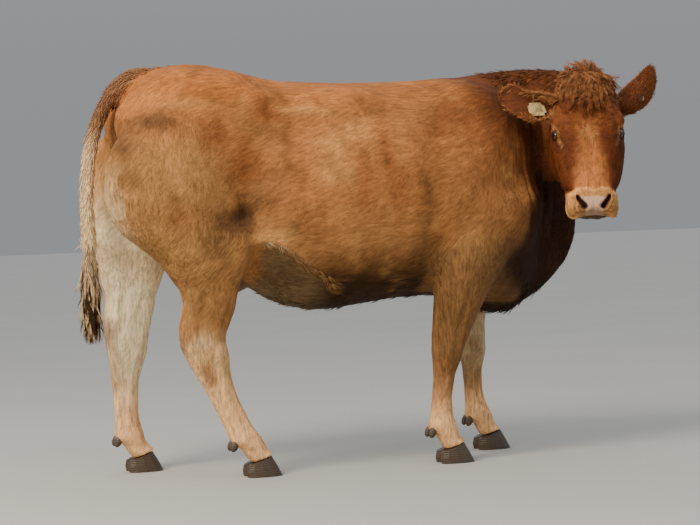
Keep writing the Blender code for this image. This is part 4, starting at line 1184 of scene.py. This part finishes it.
def tuftMesh(name, root, normal, along, style, colour, uv, rng, material):
    # three-sided tufts that taper to a point; each is closed
    count, segments = len(root), style["segments"]
    side = unit(np.cross(normal, along))
    clump = style.get("clump", 1)

    def draw(shape, shared=0.85):
        # one random value for each lock, varied a little within it
        whole = rng.normal(0, 1, (count // clump + 1, shape)).repeat(clump, axis=0)[:count]
        return shared * whole + (1 - shared) * rng.normal(0, 1, (count, shape))

    spreadOut = draw(4) if clump > 1 else rng.normal(0, 1, (count, 4))
    length = style.get("reach", style["length"] * np.clip(1 + 0.22 * spreadOut[:, 0], 0.55, 1.7))
    width = style["width"] * np.clip(1 + 0.22 * spreadOut[:, 1], 0.5, 1.6)
    lift = np.radians(np.clip(style["lift"] * (1 + 0.45 * spreadOut[:, 2]), 2, 80))
    turn = np.radians(style["jitter"]) * spreadOut[:, 3]
    along = unit(along * np.cos(turn)[:, None] + side * np.sin(turn)[:, None])
    side = unit(np.cross(normal, along))
    phase = rng.random(count // clump + 1).repeat(clump)[:count] * 2 * math.pi
    phase = phase + 0.25 * rng.normal(0, 1, count) * (clump > 1)
    handed = np.where(rng.random(count // clump + 1).repeat(clump)[:count] < 0.5, -1.0, 1.0)
    apart = np.zeros((count, 3))
    if clump > 1:
        apart = rng.normal(0, style["lockWidth"] / 2, (count, 2))
        apart = side * apart[:, :1] + along * apart[:, 1:]
    curl, turns = style.get("curl", 0.0), style.get("turns", 1.0)
    angles = np.radians([90, 210, 330])
    verts = np.empty((count, 3 * segments + 1, 3))
    shade = np.empty((count, 3 * segments + 1))
    patch = np.empty((count, 3 * segments + 1, 2))
    strand = np.empty((count, 3 * segments + 1, 3))
    offset = rng.random(count) * 3.0
    for j in range(segments + 1):
        t = j / segments
        w = phase + handed * 2 * math.pi * turns * t
        centre = root - normal * style.get("sink", 0.0012) + apart * (1 - 0.75 * t ** 1.5)
        centre = centre + along * (length * t * np.cos(lift))[:, None]
        centre = centre + normal * (length * (np.sin(lift) * t - style["bend"] * t * t))[:, None]
        centre = centre + side * (curl * length * (np.cos(w) - np.cos(phase)) * t ** 0.3)[:, None]
        waved = np.abs(np.sin(w) - np.sin(phase)) * 0.8
        centre = centre + normal * (curl * length * waved)[:, None]
        half = width * 0.5 * (1 - t ** 1.8) * (0.8 + 0.5 * t)
        if j == segments:
            verts[:, -1] = centre
            shade[:, -1] = 1.0
            patch[:, -1] = (0.5, 1.0)
            strand[:, -1] = offset[:, None] + np.outer(length * 0.15, (0, 1, 0))
            continue
        for k, angle in enumerate(angles):
            out = side * math.cos(angle) + normal * (math.sin(angle) * style["flat"])
            verts[:, 3 * j + k] = centre + out * half[:, None]
            shade[:, 3 * j + k] = t
            patch[:, 3 * j + k] = (k / 2, t)
            strand[:, 3 * j + k] = np.column_stack([
                offset + math.cos(angle) * half, offset + t * length * 0.15,
                offset + math.sin(angle) * half])
    faces = [(0, 2, 1)]
    for j in range(segments - 1):
        for k in range(3):
            a, b = 3 * j + k, 3 * j + (k + 1) % 3
            faces += [(a, b, b + 3), (a, b + 3, a + 3)]
    last = 3 * (segments - 1)
    for k in range(3):
        faces.append((last + k, last + (k + 1) % 3, 3 * segments))
    faces = np.array(faces)[None] + (np.arange(count) * (3 * segments + 1))[:, None, None]
    faces = faces.reshape(-1, 3)
    made = meshObject(name, verts.reshape(-1, 3), faces, material)
    tone = 1 + style.get("tone", 0.13) * rng.normal(0, 1, (count, 1))
    cloudy = noiseAt(root, 0.011, seedOf(name))[:, None]
    tone = np.clip(tone + 0.9 * style.get("tone", 0.13) * cloudy, 0.55, 1.5)
    straw = np.clip(rng.normal(0, 1, (count, 1)), -1.5, 2) * style.get("straw", 0.05)
    rootShade = style.get("rootShade", 0.80)
    light = rootShade + (style.get("tipShade", 1.10) - rootShade) * np.clip(shade, 0, 1) ** 0.7
    tint = colour * tone * (1 + straw * np.array([0.9, 1.15, 1.4]))
    full = np.ones((count, 3 * segments + 1, 4))
    full[:, :, :3] = np.clip(tint[:, None, :] * light[:, :, None], 0, 1)
    colourLayer(made.data, "coat", full)
    layer = made.data.attributes.new("strand", "FLOAT_VECTOR", "POINT")
    layer.data.foreach_set("vector", strand.astype(np.float32).ravel())
    uvs = uv[:, None, :] + (patch - 0.5) * bakePatch
    index = np.empty(len(made.data.loops), np.int32)
    made.data.loops.foreach_get("vertex_index", index)
    layer = made.data.uv_layers.new(name="OFBake")
    layer.data.foreach_set("uv", uvs.reshape(-1, 2)[index].astype(np.float32).ravel())
    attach(made, "root")
    print("   ", name, count, "tufts", len(faces), "triangles")
    return made


def growCoat(name, mask, style, seed, material, turnTo=None, tint=None):
    count = int(style["count"] * (1.0))
    clump = style.get("clump", 1)
    corners, share, rng = scatter(mask, count // clump, seed)
    corners, share = corners.repeat(clump, axis=0), share.repeat(clump, axis=0)
    root = blended(points, corners, share)
    normal = unit(blended(normals, corners, share))
    along = unit(blended(lie, corners, share))
    if turnTo is not None:
        along = turnTo(root, normal, toHead(root), along, rng)
    along = unit(along - (along * normal).sum(1, keepdims=True) * normal)
    colour = blended(coatAndShadeColour, corners, share)
    if tint is not None:
        colour = tint(root, colour, rng)
    place = np.array([region[c[0]] for c in corners])
    uv = unwrap(root, toHead(root), place)
    return tuftMesh(name, root, normal, along, style, colour, uv, rng, material)


print("stage 7: materials")
napScale = (20.0, 125.0, 125.0)      # streaks 50 mm long and 8 mm apart, coarser than real hair


def hideMaterial(name, bumpDepth):
    # coat pressed flat over the hide: streaks along the lie give it nap, noise gives the mottle
    made, tree, shader = newMaterial(name, IOR=1.45, Roughness=0.62, **dullHair)
    coat, first, second = (addNode(tree, "ShaderNodeAttribute", attribute_name=layer)
                           for layer in ("coat", "lieFirst", "lieSecond"))
    haired = coat.outputs["Alpha"]
    masks = [addNode(tree, "ShaderNodeSeparateColor", {"Color": a.outputs["Color"]})
             for a in (first, second)]
    spot = objectSpot(tree)
    total = None
    for i, direction in enumerate(lieDirections):
        turn = Vector(direction).to_track_quat("X", "Z").to_matrix().inverted().to_euler()
        turned = addNode(tree, "ShaderNodeMapping", {"Vector": spot, "Rotation": turn})
        stretched = vectorNode(tree, "MULTIPLY", turned.outputs["Vector"], {1: napScale})
        hairs = cloudNode(tree, stretched, 1.0, 4.0, Roughness=0.68, Distortion=0.3)
        term = mathNode(tree, "MULTIPLY", hairs, masks[i // 3].outputs[i % 3])
        total = term if total is None else mathNode(tree, "ADD", total, term)
    mottle = cloudNode(tree, spot, 55.0, 4.0, Roughness=0.6)
    shade = remapNode(tree, total, 0.34, 0.66, 0.56, 1.38)
    soft = remapNode(tree, mottle, 0.3, 0.7, 0.90, 1.08)
    # bare places keep a plain tone
    plain = mixNode(tree, "FLOAT", haired, soft, mathNode(tree, "MULTIPLY", shade, soft))
    painted = vectorNode(tree, "SCALE", coat.outputs["Color"], {3: plain})
    tree.links.new(painted, shader.inputs["Base Color"])
    pebbles = addNode(tree, "ShaderNodeTexVoronoi", {"Vector": spot, "Scale": 420.0}, feature="F1")
    bumps = mixNode(tree, "FLOAT", haired, pebbles.outputs["Distance"], total)
    tree.links.new(bumpNode(tree, bumps, 0.85, bumpDepth), shader.inputs["Normal"])
    wet = remapNode(tree, haired, 0.0, 1.0, 0.40, 0.72)
    tree.links.new(wet, shader.inputs["Roughness"])
    return made


def hairMaterial(name, roughness):
    # locks of guard hair: fine streaks along each lock break its gloss
    made, tree, shader = newMaterial(name, IOR=1.55, Roughness=roughness, **dullHair)
    coat, strand = (addNode(tree, "ShaderNodeAttribute", attribute_name=layer)
                    for layer in ("coat", "strand"))
    hairs = cloudNode(tree, strand.outputs["Vector"], 2600.0, 1.0, Roughness=0.5)
    shade = remapNode(tree, hairs, 0.3, 0.7, 0.72, 1.22)
    painted = vectorNode(tree, "SCALE", coat.outputs["Color"], {3: shade})
    tree.links.new(painted, shader.inputs["Base Color"])
    tree.links.new(bumpNode(tree, hairs, 0.5, 0.0006), shader.inputs["Normal"])
    return made


lieDirections = ((-0.92, 0.0, -0.40), (0.0, 0.0, -1.0), (-1.0, 0.0, 0.0), tuple(faceDown),
                 tuple(faceLeft), (-0.62, 0.25, -0.72))
hide = hideMaterial("short_coat_on_hide", 0.0030)
hair = hairMaterial("guard_hair", 0.62)

print("stage 8: the skin and its coat")
match = np.abs(lie @ unit(np.array(lieDirections)).T) ** 10
match[:, 3:5] *= (part["head"] > 0.02)[:, None]
match = match / np.maximum(match.sum(1, keepdims=True), 1e-6)
match = spread(match, edges, 2)
for i, name in enumerate(("lieFirst", "lieSecond")):
    full = np.ones((len(points), 4))
    full[:, :3] = match[:, 3 * i:3 * i + 3]
    colourLayer(skinMesh, name, full)
colourLayer(skinMesh, "coat", np.column_stack([coatAndShadeColour, 1 - bare]))
skinMesh.materials.clear()
skinMesh.materials.append(hide)
skinMesh.polygons.foreach_set("use_smooth", [True] * len(skinMesh.polygons))
skin = bpy.data.objects.new("skin", skinMesh)
scene.collection.objects.link(skin)
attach(skin, "root")
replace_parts(skin, *fleshNames)

haired = 1 - bare
hx, hy, hz = head[:, 0], np.abs(head[:, 1]), head[:, 2]
x, y, z = points[:, 0], points[:, 1] - midline, points[:, 2]
headMask = part["head"] * haired
faceMask = headMask * ramp(hx, 0.06, 0.11)
shore = hx + 1.2 * np.maximum(np.abs(head[:, 1]) - 0.022, 0) + 0.022 * noiseAt(points, 0.02, 74)
pollMask = headMask * ramp(shore, 0.128, 0.060) * ramp(hz, -0.12, -0.05)
nearEye = lidMasks(head)[1]
trunkMask = part["trunk"]
legMask = part["forearm"] + part["hind_shank"] + part["fore_shank"]
crestRidge = part["neck"] * ramp(normals[:, 2], 0.55, 0.85) * ramp(z, 1.20, 1.27) * 2.0
tailRidge = ramp(x, -0.60, -0.72) * ramp(z, 1.24, 1.30) * ramp(y, -0.07, -0.03) \
    * ramp(y, 0.07, 0.03)
brisketRidge = ramp(z, 0.62, 0.56) * ramp(x, 0.40, 0.48) * (part["trunk"] + part["neck"])
bellyLine = ramp(-normals[:, 2], 0.75, 0.95) * ramp(z, 0.64, 0.58) * trunkMask * 0.3
elbowHair = bell(x, 0.150, 0.040) * bell(z, 0.640, 0.050) * ramp(np.abs(y), 0.14, 0.18) * 0.5
fringeEdge = z - np.interp(x, flankEdge[0], flankEdge[1])
fringeRidge = bell(fringeEdge, 0.006, 0.008) * ramp(x, -0.49, -0.45) * ramp(x, -0.16, -0.22) \
    * ramp(np.abs(y), 0.12, 0.16) * trunkMask

faceStyle = {"count": 34000, "length": 0.0090, "width": 0.0015, "lift": 8, "jitter": 10,
             "segments": 1, "bend": 0.06, "flat": 0.5, "tone": 0.10, "sink": 0.0006}
growCoat("coat_face", faceMask * (1 - 0.7 * nearEye), faceStyle, 41, hair)

bodyStyle = {"count": 29000, "length": 0.0155, "width": 0.0019, "lift": 5.5, "jitter": 10,
             "segments": 1, "bend": 0.02, "flat": 0.5, "tone": 0.13, "straw": 0.03,
             "rootShade": 0.94, "tipShade": 1.06}
pieces = (("coat_shoulder", ramp(x, 0.10, 0.14) * trunkMask, {}),
          ("coat_barrel", ramp(x, -0.31, -0.27) * ramp(x, 0.14, 0.10) * trunkMask, {}),
          ("coat_rump", ramp(x, -0.27, -0.31) * trunkMask, {}),
          ("coat_thighs", part["thigh"], {"count": 24000}),
          ("coat_neck", part["neck"], {"count": 25000, "length": 0.0210, "lift": 8, "tone": 0.14}))
for i, (name, mask, change) in enumerate(pieces):
    growCoat(name, mask, dict(bodyStyle, **change), 50 + i, hair)
legStyle = dict(bodyStyle, count=29000, length=0.0105, width=0.0016, lift=3.5, tone=0.08,
                straw=0.01, sink=0.0008)
growCoat("coat_legs", legMask, legStyle, 61, hair)


def forelock(root, normal, h, along, rng):
    # locks of the poll fall forwards and part over the forehead
    turn = noiseAt(root, 0.040, 71)[:, None]
    out = np.column_stack([np.ones(len(h)), 0.5 * h[:, 1] / 0.08, -0.2 * np.ones(len(h))])
    out = mixTo(unit(out), np.array((-0.6, 0.0, -0.1)), ramp(h[:, 0], 0.005, -0.025))
    # one tuft over the left half stands up
    tuft = np.exp(-(np.hypot(h[:, 0] + 0.005, h[:, 1] - 0.018) / 0.012) ** 2)
    out = unit(out) @ headAxes
    out = unit(out + np.cross(normal, out) * turn * 0.9)
    return mixTo(out, 0.55 * normal + 0.3 * out, tuft)


pollStyle = {"count": 3500, "clump": 8, "lockWidth": 0.0080, "length": 0.047, "width": 0.0025,
             "lift": 21, "jitter": 20, "segments": 5, "bend": 0.34, "flat": 0.6, "tone": 0.16,
             "curl": 0.10, "turns": 0.7, "rootShade": 0.55, "tipShade": 1.45}
growCoat("coat_poll", pollMask, pollStyle, 62, hair, turnTo=forelock)
browMask = headMask * ramp(shore, 0.060, 0.105) * ramp(shore, 0.220, 0.110) \
    * ramp(np.abs(head[:, 1]), 0.125, 0.090) * ramp(hz, -0.10, -0.05)
browStyle = {"count": 4200, "clump": 4, "lockWidth": 0.0060, "length": 0.019, "width": 0.0019,
             "lift": 8, "jitter": 20, "segments": 3, "bend": 0.20, "flat": 0.5, "tone": 0.12,
             "curl": 0.08, "turns": 0.6, "rootShade": 0.92, "tipShade": 1.10}
growCoat("coat_forehead", browMask, browStyle, 66, hair)


def whorlOut(root, normal, h, along, rng):
    # the whorl between the eyes: hair stands out all round its middle
    away = h - np.array((whorl[0], whorl[1], 0))
    away[:, 2] = 0
    return unit(away) @ headAxes


def whorlTint(root, colour, rng):
    return colour + (hideAndShadeLinear["gold"] - colour) * (0.15 + 0.55 * rng.random((len(root), 1)))


whorlMask = headMask * np.exp(-(np.hypot(hx - whorl[0], head[:, 1] - whorl[1]) / 0.010) ** 2) \
    * ramp(hz, -0.08, -0.04)
whorlStyle = {"count": 420, "clump": 4, "lockWidth": 0.0024, "length": 0.024, "width": 0.0015,
              "lift": 12, "jitter": 12, "segments": 3, "bend": 0.16, "flat": 0.5, "tone": 0.16,
              "rootShade": 0.75, "tipShade": 1.25}
growCoat("coat_whorl", whorlMask, whorlStyle, 72, hair, whorlOut, whorlTint)

# longer hair where it breaks the outline: crest, tail head, brisket, elbows, belly's midline
edgeMask = crestRidge + tailRidge + brisketRidge + bellyLine + elbowHair
edgeStyle = {"count": 3400, "clump": 3, "lockWidth": 0.0040, "length": 0.031, "width": 0.0023,
             "lift": 14, "jitter": 13, "segments": 3, "bend": 0.10, "flat": 0.5, "tone": 0.13,
             "curl": 0.03, "turns": 0.5, "rootShade": 0.75, "tipShade": 1.12}
growCoat("coat_outline", edgeMask, edgeStyle, 67, hair)


def fringeDown(root, normal, h, along, rng):
    # the fringe of the flank's fold hangs down and forwards
    out = np.tile((0.55, 0.0, -0.85), (len(root), 1))
    out[:, 0] += 0.35 * noiseAt(root, 0.020, 72)
    return unit(out)


def paleTips(root, colour, rng):
    pale = ramp(root[:, 0], -0.47, -0.43) * ramp(root[:, 0], -0.30, -0.38)
    share = ((0.15 + 0.75 * pale) * rng.random(len(root)))[:, None]
    base = hideAndShadeLinear["tan"] * np.ones((len(root), 1))
    return base + (hideAndShadeLinear["fringe"] - base) * share


fringeStyle = {"count": 2200, "clump": 4, "lockWidth": 0.0045, "length": 0.034, "width": 0.0017,
               "lift": 9, "jitter": 20, "segments": 3, "bend": 0.04, "flat": 0.5, "tone": 0.10,
               "curl": 0.03, "turns": 0.5, "rootShade": 0.80, "tipShade": 1.15}
growCoat("coat_flank_fringe", fringeRidge, fringeStyle, 68, hair, fringeDown, paleTips)

earMask = part["ear"] * ramp(earInside(points, normals), 0.60, 0.25)
earStyle = {"count": 5800, "length": 0.0150, "width": 0.0020, "lift": 12, "jitter": 14,
            "segments": 2, "bend": 0.05, "flat": 0.4, "tone": 0.15, "sink": 0.0006}
growCoat("coat_ears", earMask, earStyle, 63, hair)


def earHairOut(root, normal, h, along, rng):
    # long soft hair crosses the ear's opening from its rim
    which = earPlace(root)[1]
    axis, middle = earAxes[which], earMiddles[which]
    toMiddle = middle + axis * ((root - middle) * axis).sum(1, keepdims=True) - root
    return unit(axis * 0.75 + unit(toMiddle) * 0.75)


rimMask = part["ear"] * bell(earInside(points, normals), 0.30, 0.22)
innerStyle = {"count": 2000, "clump": 3, "lockWidth": 0.0040, "length": 0.018, "width": 0.0016,
              "lift": 20, "jitter": 24, "segments": 4, "bend": 0.10, "flat": 0.5, "tone": 0.16,
              "curl": 0.03, "turns": 0.5, "rootShade": 0.7, "tipShade": 1.3, "sink": 0.0006}


def rimOut(root, normal, h, along, rng):
    # short pale hair stands off the ear's upper edge towards its tip
    return unit(along + 0.5 * noiseAt(root, 0.012, 73)[:, None] * np.array((0.0, 0.0, 1.0)))


def rimTint(root, colour, rng):
    share = (0.45 + 0.45 * rng.random(len(root)))[:, None]
    return colour + (hideAndShadeLinear["earRim"] * 1.15 - colour) * share


growCoat("coat_ear_fringe", rimMask, innerStyle, 69, hair, earHairOut, rimTint)
edgeOn = part["ear"] * bell(earInside(points, normals), 0.05, 0.35) * ramp(normals[:, 2], 0.0, 0.5)
rimStyle = {"count": 1400, "length": 0.0150, "width": 0.0016, "lift": 38, "jitter": 24,
            "segments": 3, "bend": 0.10, "flat": 0.5, "tone": 0.14, "sink": 0.0006}
growCoat("coat_ear_rim", edgeOn, rimStyle, 70, hair, rimOut, rimTint)


def switchSpine(z):
    order = np.array(sorted((b, a) for a, b in tailPath))
    return np.interp(z, order[:, 0], order[:, 1])


tailStyle = {"count": 4300, "length": 0.034, "width": 0.0034, "lift": 8, "jitter": 10,
             "segments": 3, "bend": 0.03, "flat": 0.45, "tone": 0.16}
growCoat("coat_tail", part["tail"], tailStyle, 64, hair)


def switchLocks(name, style, seed):
    # long wavy locks that hang from the tail's end
    count = int(style["count"] * (1.0))
    rng = np.random.default_rng(seed)
    low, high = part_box("tail_switch")
    locks = count // style["clump"] + 1

    def shared(values):
        return values.repeat(style["clump"])[:count]

    z = high.z - 0.005 - (high.z - low.z) * 0.62 * shared(rng.random(locks) ** 1.4)
    turn = shared(rng.random(locks)) * 2 * math.pi
    middle = np.column_stack([switchSpine(z), np.full(count, (low.y + high.y) / 2), z])
    size = 0.015 + 0.008 * bell(z, 0.66, 0.09)
    out = np.column_stack([np.cos(turn), np.sin(turn), np.zeros(count)])
    root = middle + out * (size * (0.35 + 0.65 * shared(rng.random(locks))))[:, None]
    reach = np.minimum(root[:, 2] - low.z - 0.002,
                       style["length"] * (0.6 + 0.6 * shared(rng.random(locks))))
    sway = np.array([shared(rng.normal(0, 1, locks)) for _ in range(3)]).T
    along = unit(np.tile((0.0, 0.0, -1.0), (count, 1)) + 0.10 * sway)
    along = unit(along - (along * out).sum(1, keepdims=True) * out)
    colour = mixTo(hideAndShadeLinear["switch"], hideAndShadeLinear["tail"], ramp(z, 0.68, 0.84))
    colour = colour * np.clip(1 + 0.16 * rng.normal(0, 1, (count, 1)), 0.5, 1.7)
    paler = shared(rng.random(locks) < 0.35)[:, None]
    colour = np.where(paler, hideAndShadeLinear["tail"] * 0.85, colour)
    uv = np.column_stack([0.63 + 0.36 * turn / (2 * math.pi), 0.62 + 0.30 * (z - 0.40)])
    style = dict(style, reach=reach)
    return tuftMesh(name, root, out, along, style, colour, uv, rng, hair)


switchStyle = {"count": 2300, "clump": 6, "lockWidth": 0.0080, "length": 0.150,
               "width": 0.0034, "lift": 4, "jitter": 5, "segments": 8, "bend": 0.03,
               "flat": 0.6, "tone": 0.10, "curl": 0.030, "turns": 1.6,
               "slot": "switch_hair", "rootShade": 0.6}
switch = switchLocks("switch_hair", switchStyle, 65)
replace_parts(switch, "tail_switch")

print("stage 9: eyes, claws and tags")


def eyeMaterial():
    # a wet dark-brown eye with a long level pupil: depth and one sharp highlight
    made, tree, shader = newMaterial("wet_brown_eye", IOR=1.38, Roughness=0.05)
    shader.inputs["Coat Weight"].default_value = 1.0
    shader.inputs["Coat Roughness"].default_value = 0.02
    spot = objectSpot(tree)
    apart = addNode(tree, "ShaderNodeSeparateXYZ", {0: spot})
    flat = addNode(tree, "ShaderNodeCombineXYZ", {0: apart.outputs[0], 1: apart.outputs[1]})
    fromAxis = vectorNode(tree, "LENGTH", flat.outputs[0])
    squeezed = vectorNode(tree, "MULTIPLY", flat.outputs[0], {1: (0.55, 1.0, 1.0)})
    pupil = vectorNode(tree, "LENGTH", squeezed)
    iris = mixNode(tree, "RGBA", cloudNode(tree, spot, 900.0, 3.0), "#2a150b", "#5a3319")
    dark = mixNode(tree, "RGBA", remapNode(tree, pupil, 0.0044, 0.0050), "#060506", iris)
    rim = remapNode(tree, fromAxis, 0.0126, 0.0140)
    tree.links.new(mixNode(tree, "RGBA", rim, dark, "#5b4438"), shader.inputs["Base Color"])
    return made


def makeEye(name, hand, material):
    # a ball with a slight corneal bulge, its z axis along the gaze
    rings, around = 40, 56
    verts, faces = [], []
    for i in range(rings + 1):
        polar = math.pi * i / rings
        bulge = 1 + 0.045 * max(0.0, 1 - (polar / 0.75) ** 2)
        for j in range(around):
            turn = 2 * math.pi * j / around
            verts.append((bulge * math.sin(polar) * math.cos(turn),
                          bulge * math.sin(polar) * math.sin(turn), bulge * math.cos(polar)))
    for i in range(rings):
        for j in range(around):
            a, b = i * around + j, i * around + (j + 1) % around
            faces.append((a, a + around, b + around, b))
    verts = np.array(verts) * (eyeSet["radius"] - 0.0004)
    made = meshObject(name, verts, faces, material)
    gaze = unit(np.array(eyeSet["gaze"]) * (1, hand, 1) @ headAxes)
    slope = eyeSet["slope"]
    level = unit(np.array((math.cos(slope), 0.0, math.sin(slope))) @ headAxes)
    level = unit(level - (level @ gaze) * gaze)
    up = np.cross(gaze, level)
    centre = fromHead(np.array(eyeSet["centre"]) * (1, hand, 1))
    turn = Matrix(np.column_stack([level, up, gaze]).tolist()).to_4x4()
    made.matrix_world = Matrix.Translation(Vector(centre)) @ turn
    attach(made, "root")
    return made


eyeball = eyeMaterial()
for which, hand in (("left", 1), ("right", -1)):
    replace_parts(makeEye("eyeball_" + which, hand, eyeball), "eye_" + which)


def hornMaterial():
    # horn of the claws: growth rings and fine upright streaks, dull
    made, tree, shader = newMaterial("claw_horn", IOR=1.54, Roughness=0.5)
    spot = objectSpot(tree)
    wave = addNode(tree, "ShaderNodeTexWave", {
        "Vector": spot, "Scale": 42.0, "Distortion": 1.2, "Detail": 2.0},
        bands_direction="Z").outputs["Fac"]
    long = vectorNode(tree, "MULTIPLY", spot, {1: (1.0, 1.0, 0.08)})
    streak = cloudNode(tree, long, 380.0, 3.0)
    base = mixNode(tree, "RGBA", streak, "#2b221a", "#66523a")
    tree.links.new(mixNode(tree, "RGBA", wave, "#3d3125", base), shader.inputs["Base Color"])
    rings = bumpNode(tree, wave, 0.6, 0.0010)
    fine = bumpNode(tree, streak, 0.5, 0.0005, Normal=rings)
    tree.links.new(fine, shader.inputs["Normal"])
    return made


horn = hornMaterial()
for name, node in nodes.items():
    if "claw" in name:
        recoat(node, horn, "worn edges", 0.0015)
        node.data.polygons.foreach_set("use_smooth", [True] * len(node.data.polygons))


def tagMaterial(name, outward, level):
    # moulded ear tag: weathered cream-yellow plastic with grime in its pits, and a stud
    # stained as brown as the coat round it
    made, tree, shader = newMaterial(name, IOR=1.5, Roughness=0.42)
    spot = objectSpot(tree)
    grime = cloudNode(tree, spot, 70.0, 6.0, Roughness=0.65)
    plastic = mixNode(tree, "RGBA", remapNode(tree, grime, 0.36, 0.60), "#80643a", "#d6b97a")
    reach = vectorNode(tree, "DOT_PRODUCT", spot, {1: tuple(outward)})
    stud = mathNode(tree, "GREATER_THAN", reach, level)
    tree.links.new(mixNode(tree, "RGBA", stud, plastic, "#4a2915"), shader.inputs["Base Color"])
    tree.links.new(bumpNode(tree, grime, 0.3, 0.0006), shader.inputs["Normal"])
    return made


for name in ("left", "right"):
    tag = nodes["ear_tag_" + name]
    outward = unit(-np.array(earFacing[name])) @ headAxes
    reach = pointsOf(tag.data) @ outward
    level = float(np.median(reach) * 0.85 + reach.max() * 0.15)
    plastic = tagMaterial("weathered_tag_plastic_" + name, outward, level)
    recoat(tag, plastic, "moulded edges", 0.0006)

print("stage 10: floor, light and camera")


def floorMaterial():
    # plain pale studio floor, slightly uneven so that it doesn't look like paper
    made, tree, shader = newMaterial("studio_floor", Roughness=0.85)
    cloud = cloudNode(tree, objectSpot(tree), 1.3, 3.0)
    tree.links.new(mixNode(tree, "RGBA", cloud, "#a9a7a1", "#b3b1ab"),
                   shader.inputs["Base Color"])
    return made


floorHalf = 40           # metres
corners = [(-floorHalf, -floorHalf, 0), (floorHalf, -floorHalf, 0),
           (floorHalf, floorHalf, 0), (-floorHalf, floorHalf, 0)]
floor = meshObject("floor", corners, [(0, 1, 2, 3)], floorMaterial(), smooth=False)
skySet = {"low": 0.36, "high": 1.15, "colour": "#e9edf2"}    # brightness at the floor and above
world = bpy.data.worlds.new("studio")
scene.world = world
world.use_nodes = True
dome = world.node_tree
seen = addNode(dome, "ShaderNodeTexCoord")
apart = addNode(dome, "ShaderNodeSeparateXYZ", {0: seen.outputs["Generated"]})
height = remapNode(dome, apart.outputs[2], 0.02, 0.75, skySet["low"], skySet["high"],
                   interpolation_type="SMOOTHSTEP")
dome.nodes["Background"].inputs["Color"].default_value = (*linear(skySet["colour"]), 1)
dome.links.new(height, dome.nodes["Background"].inputs["Strength"])

lampSet = {"place": (-4.4, -2.9, 4.9), "aim": (0.0, 0.0, 0.9), "size": 3.0, "power": 560.0,
           "colour": "#fff2de"}
data = bpy.data.lights.new("sky_light", "AREA")
data.shape, data.size, data.energy = "DISK", lampSet["size"], lampSet["power"]
data.color = linear(lampSet["colour"])
lamp = bpy.data.objects.new("sky_light", data)
scene.collection.objects.link(lamp)
lamp.location = lampSet["place"]
toward = Vector(lampSet["aim"]) - Vector(lampSet["place"])
lamp.rotation_euler = toward.to_track_quat("-Z", "Y").to_euler()

view = {"place": (-2.237, -7.516, 0.905), "aim": (-0.060, 0.075, 0.690), "roll": 2.0,
        "lens": 118.3, "sensor": 36.0}
data = bpy.data.cameras.new("camera")
data.lens, data.sensor_width = view["lens"], view["sensor"]
camera = bpy.data.objects.new("camera", data)
scene.collection.objects.link(camera)
toward = unit(np.array(view["place"]) - np.array(view["aim"]))
right = unit(np.cross(-toward, (0, 0, 1)))
upward = np.cross(right, -toward)
roll = math.radians(view["roll"])
turned = (math.cos(roll) * right - math.sin(roll) * upward,
          math.cos(roll) * upward + math.sin(roll) * right)
turn = Matrix(np.column_stack([turned[0], turned[1], toward]).tolist()).to_4x4()
camera.matrix_world = Matrix.Translation(Vector(view["place"])) @ turn
scene.camera = camera
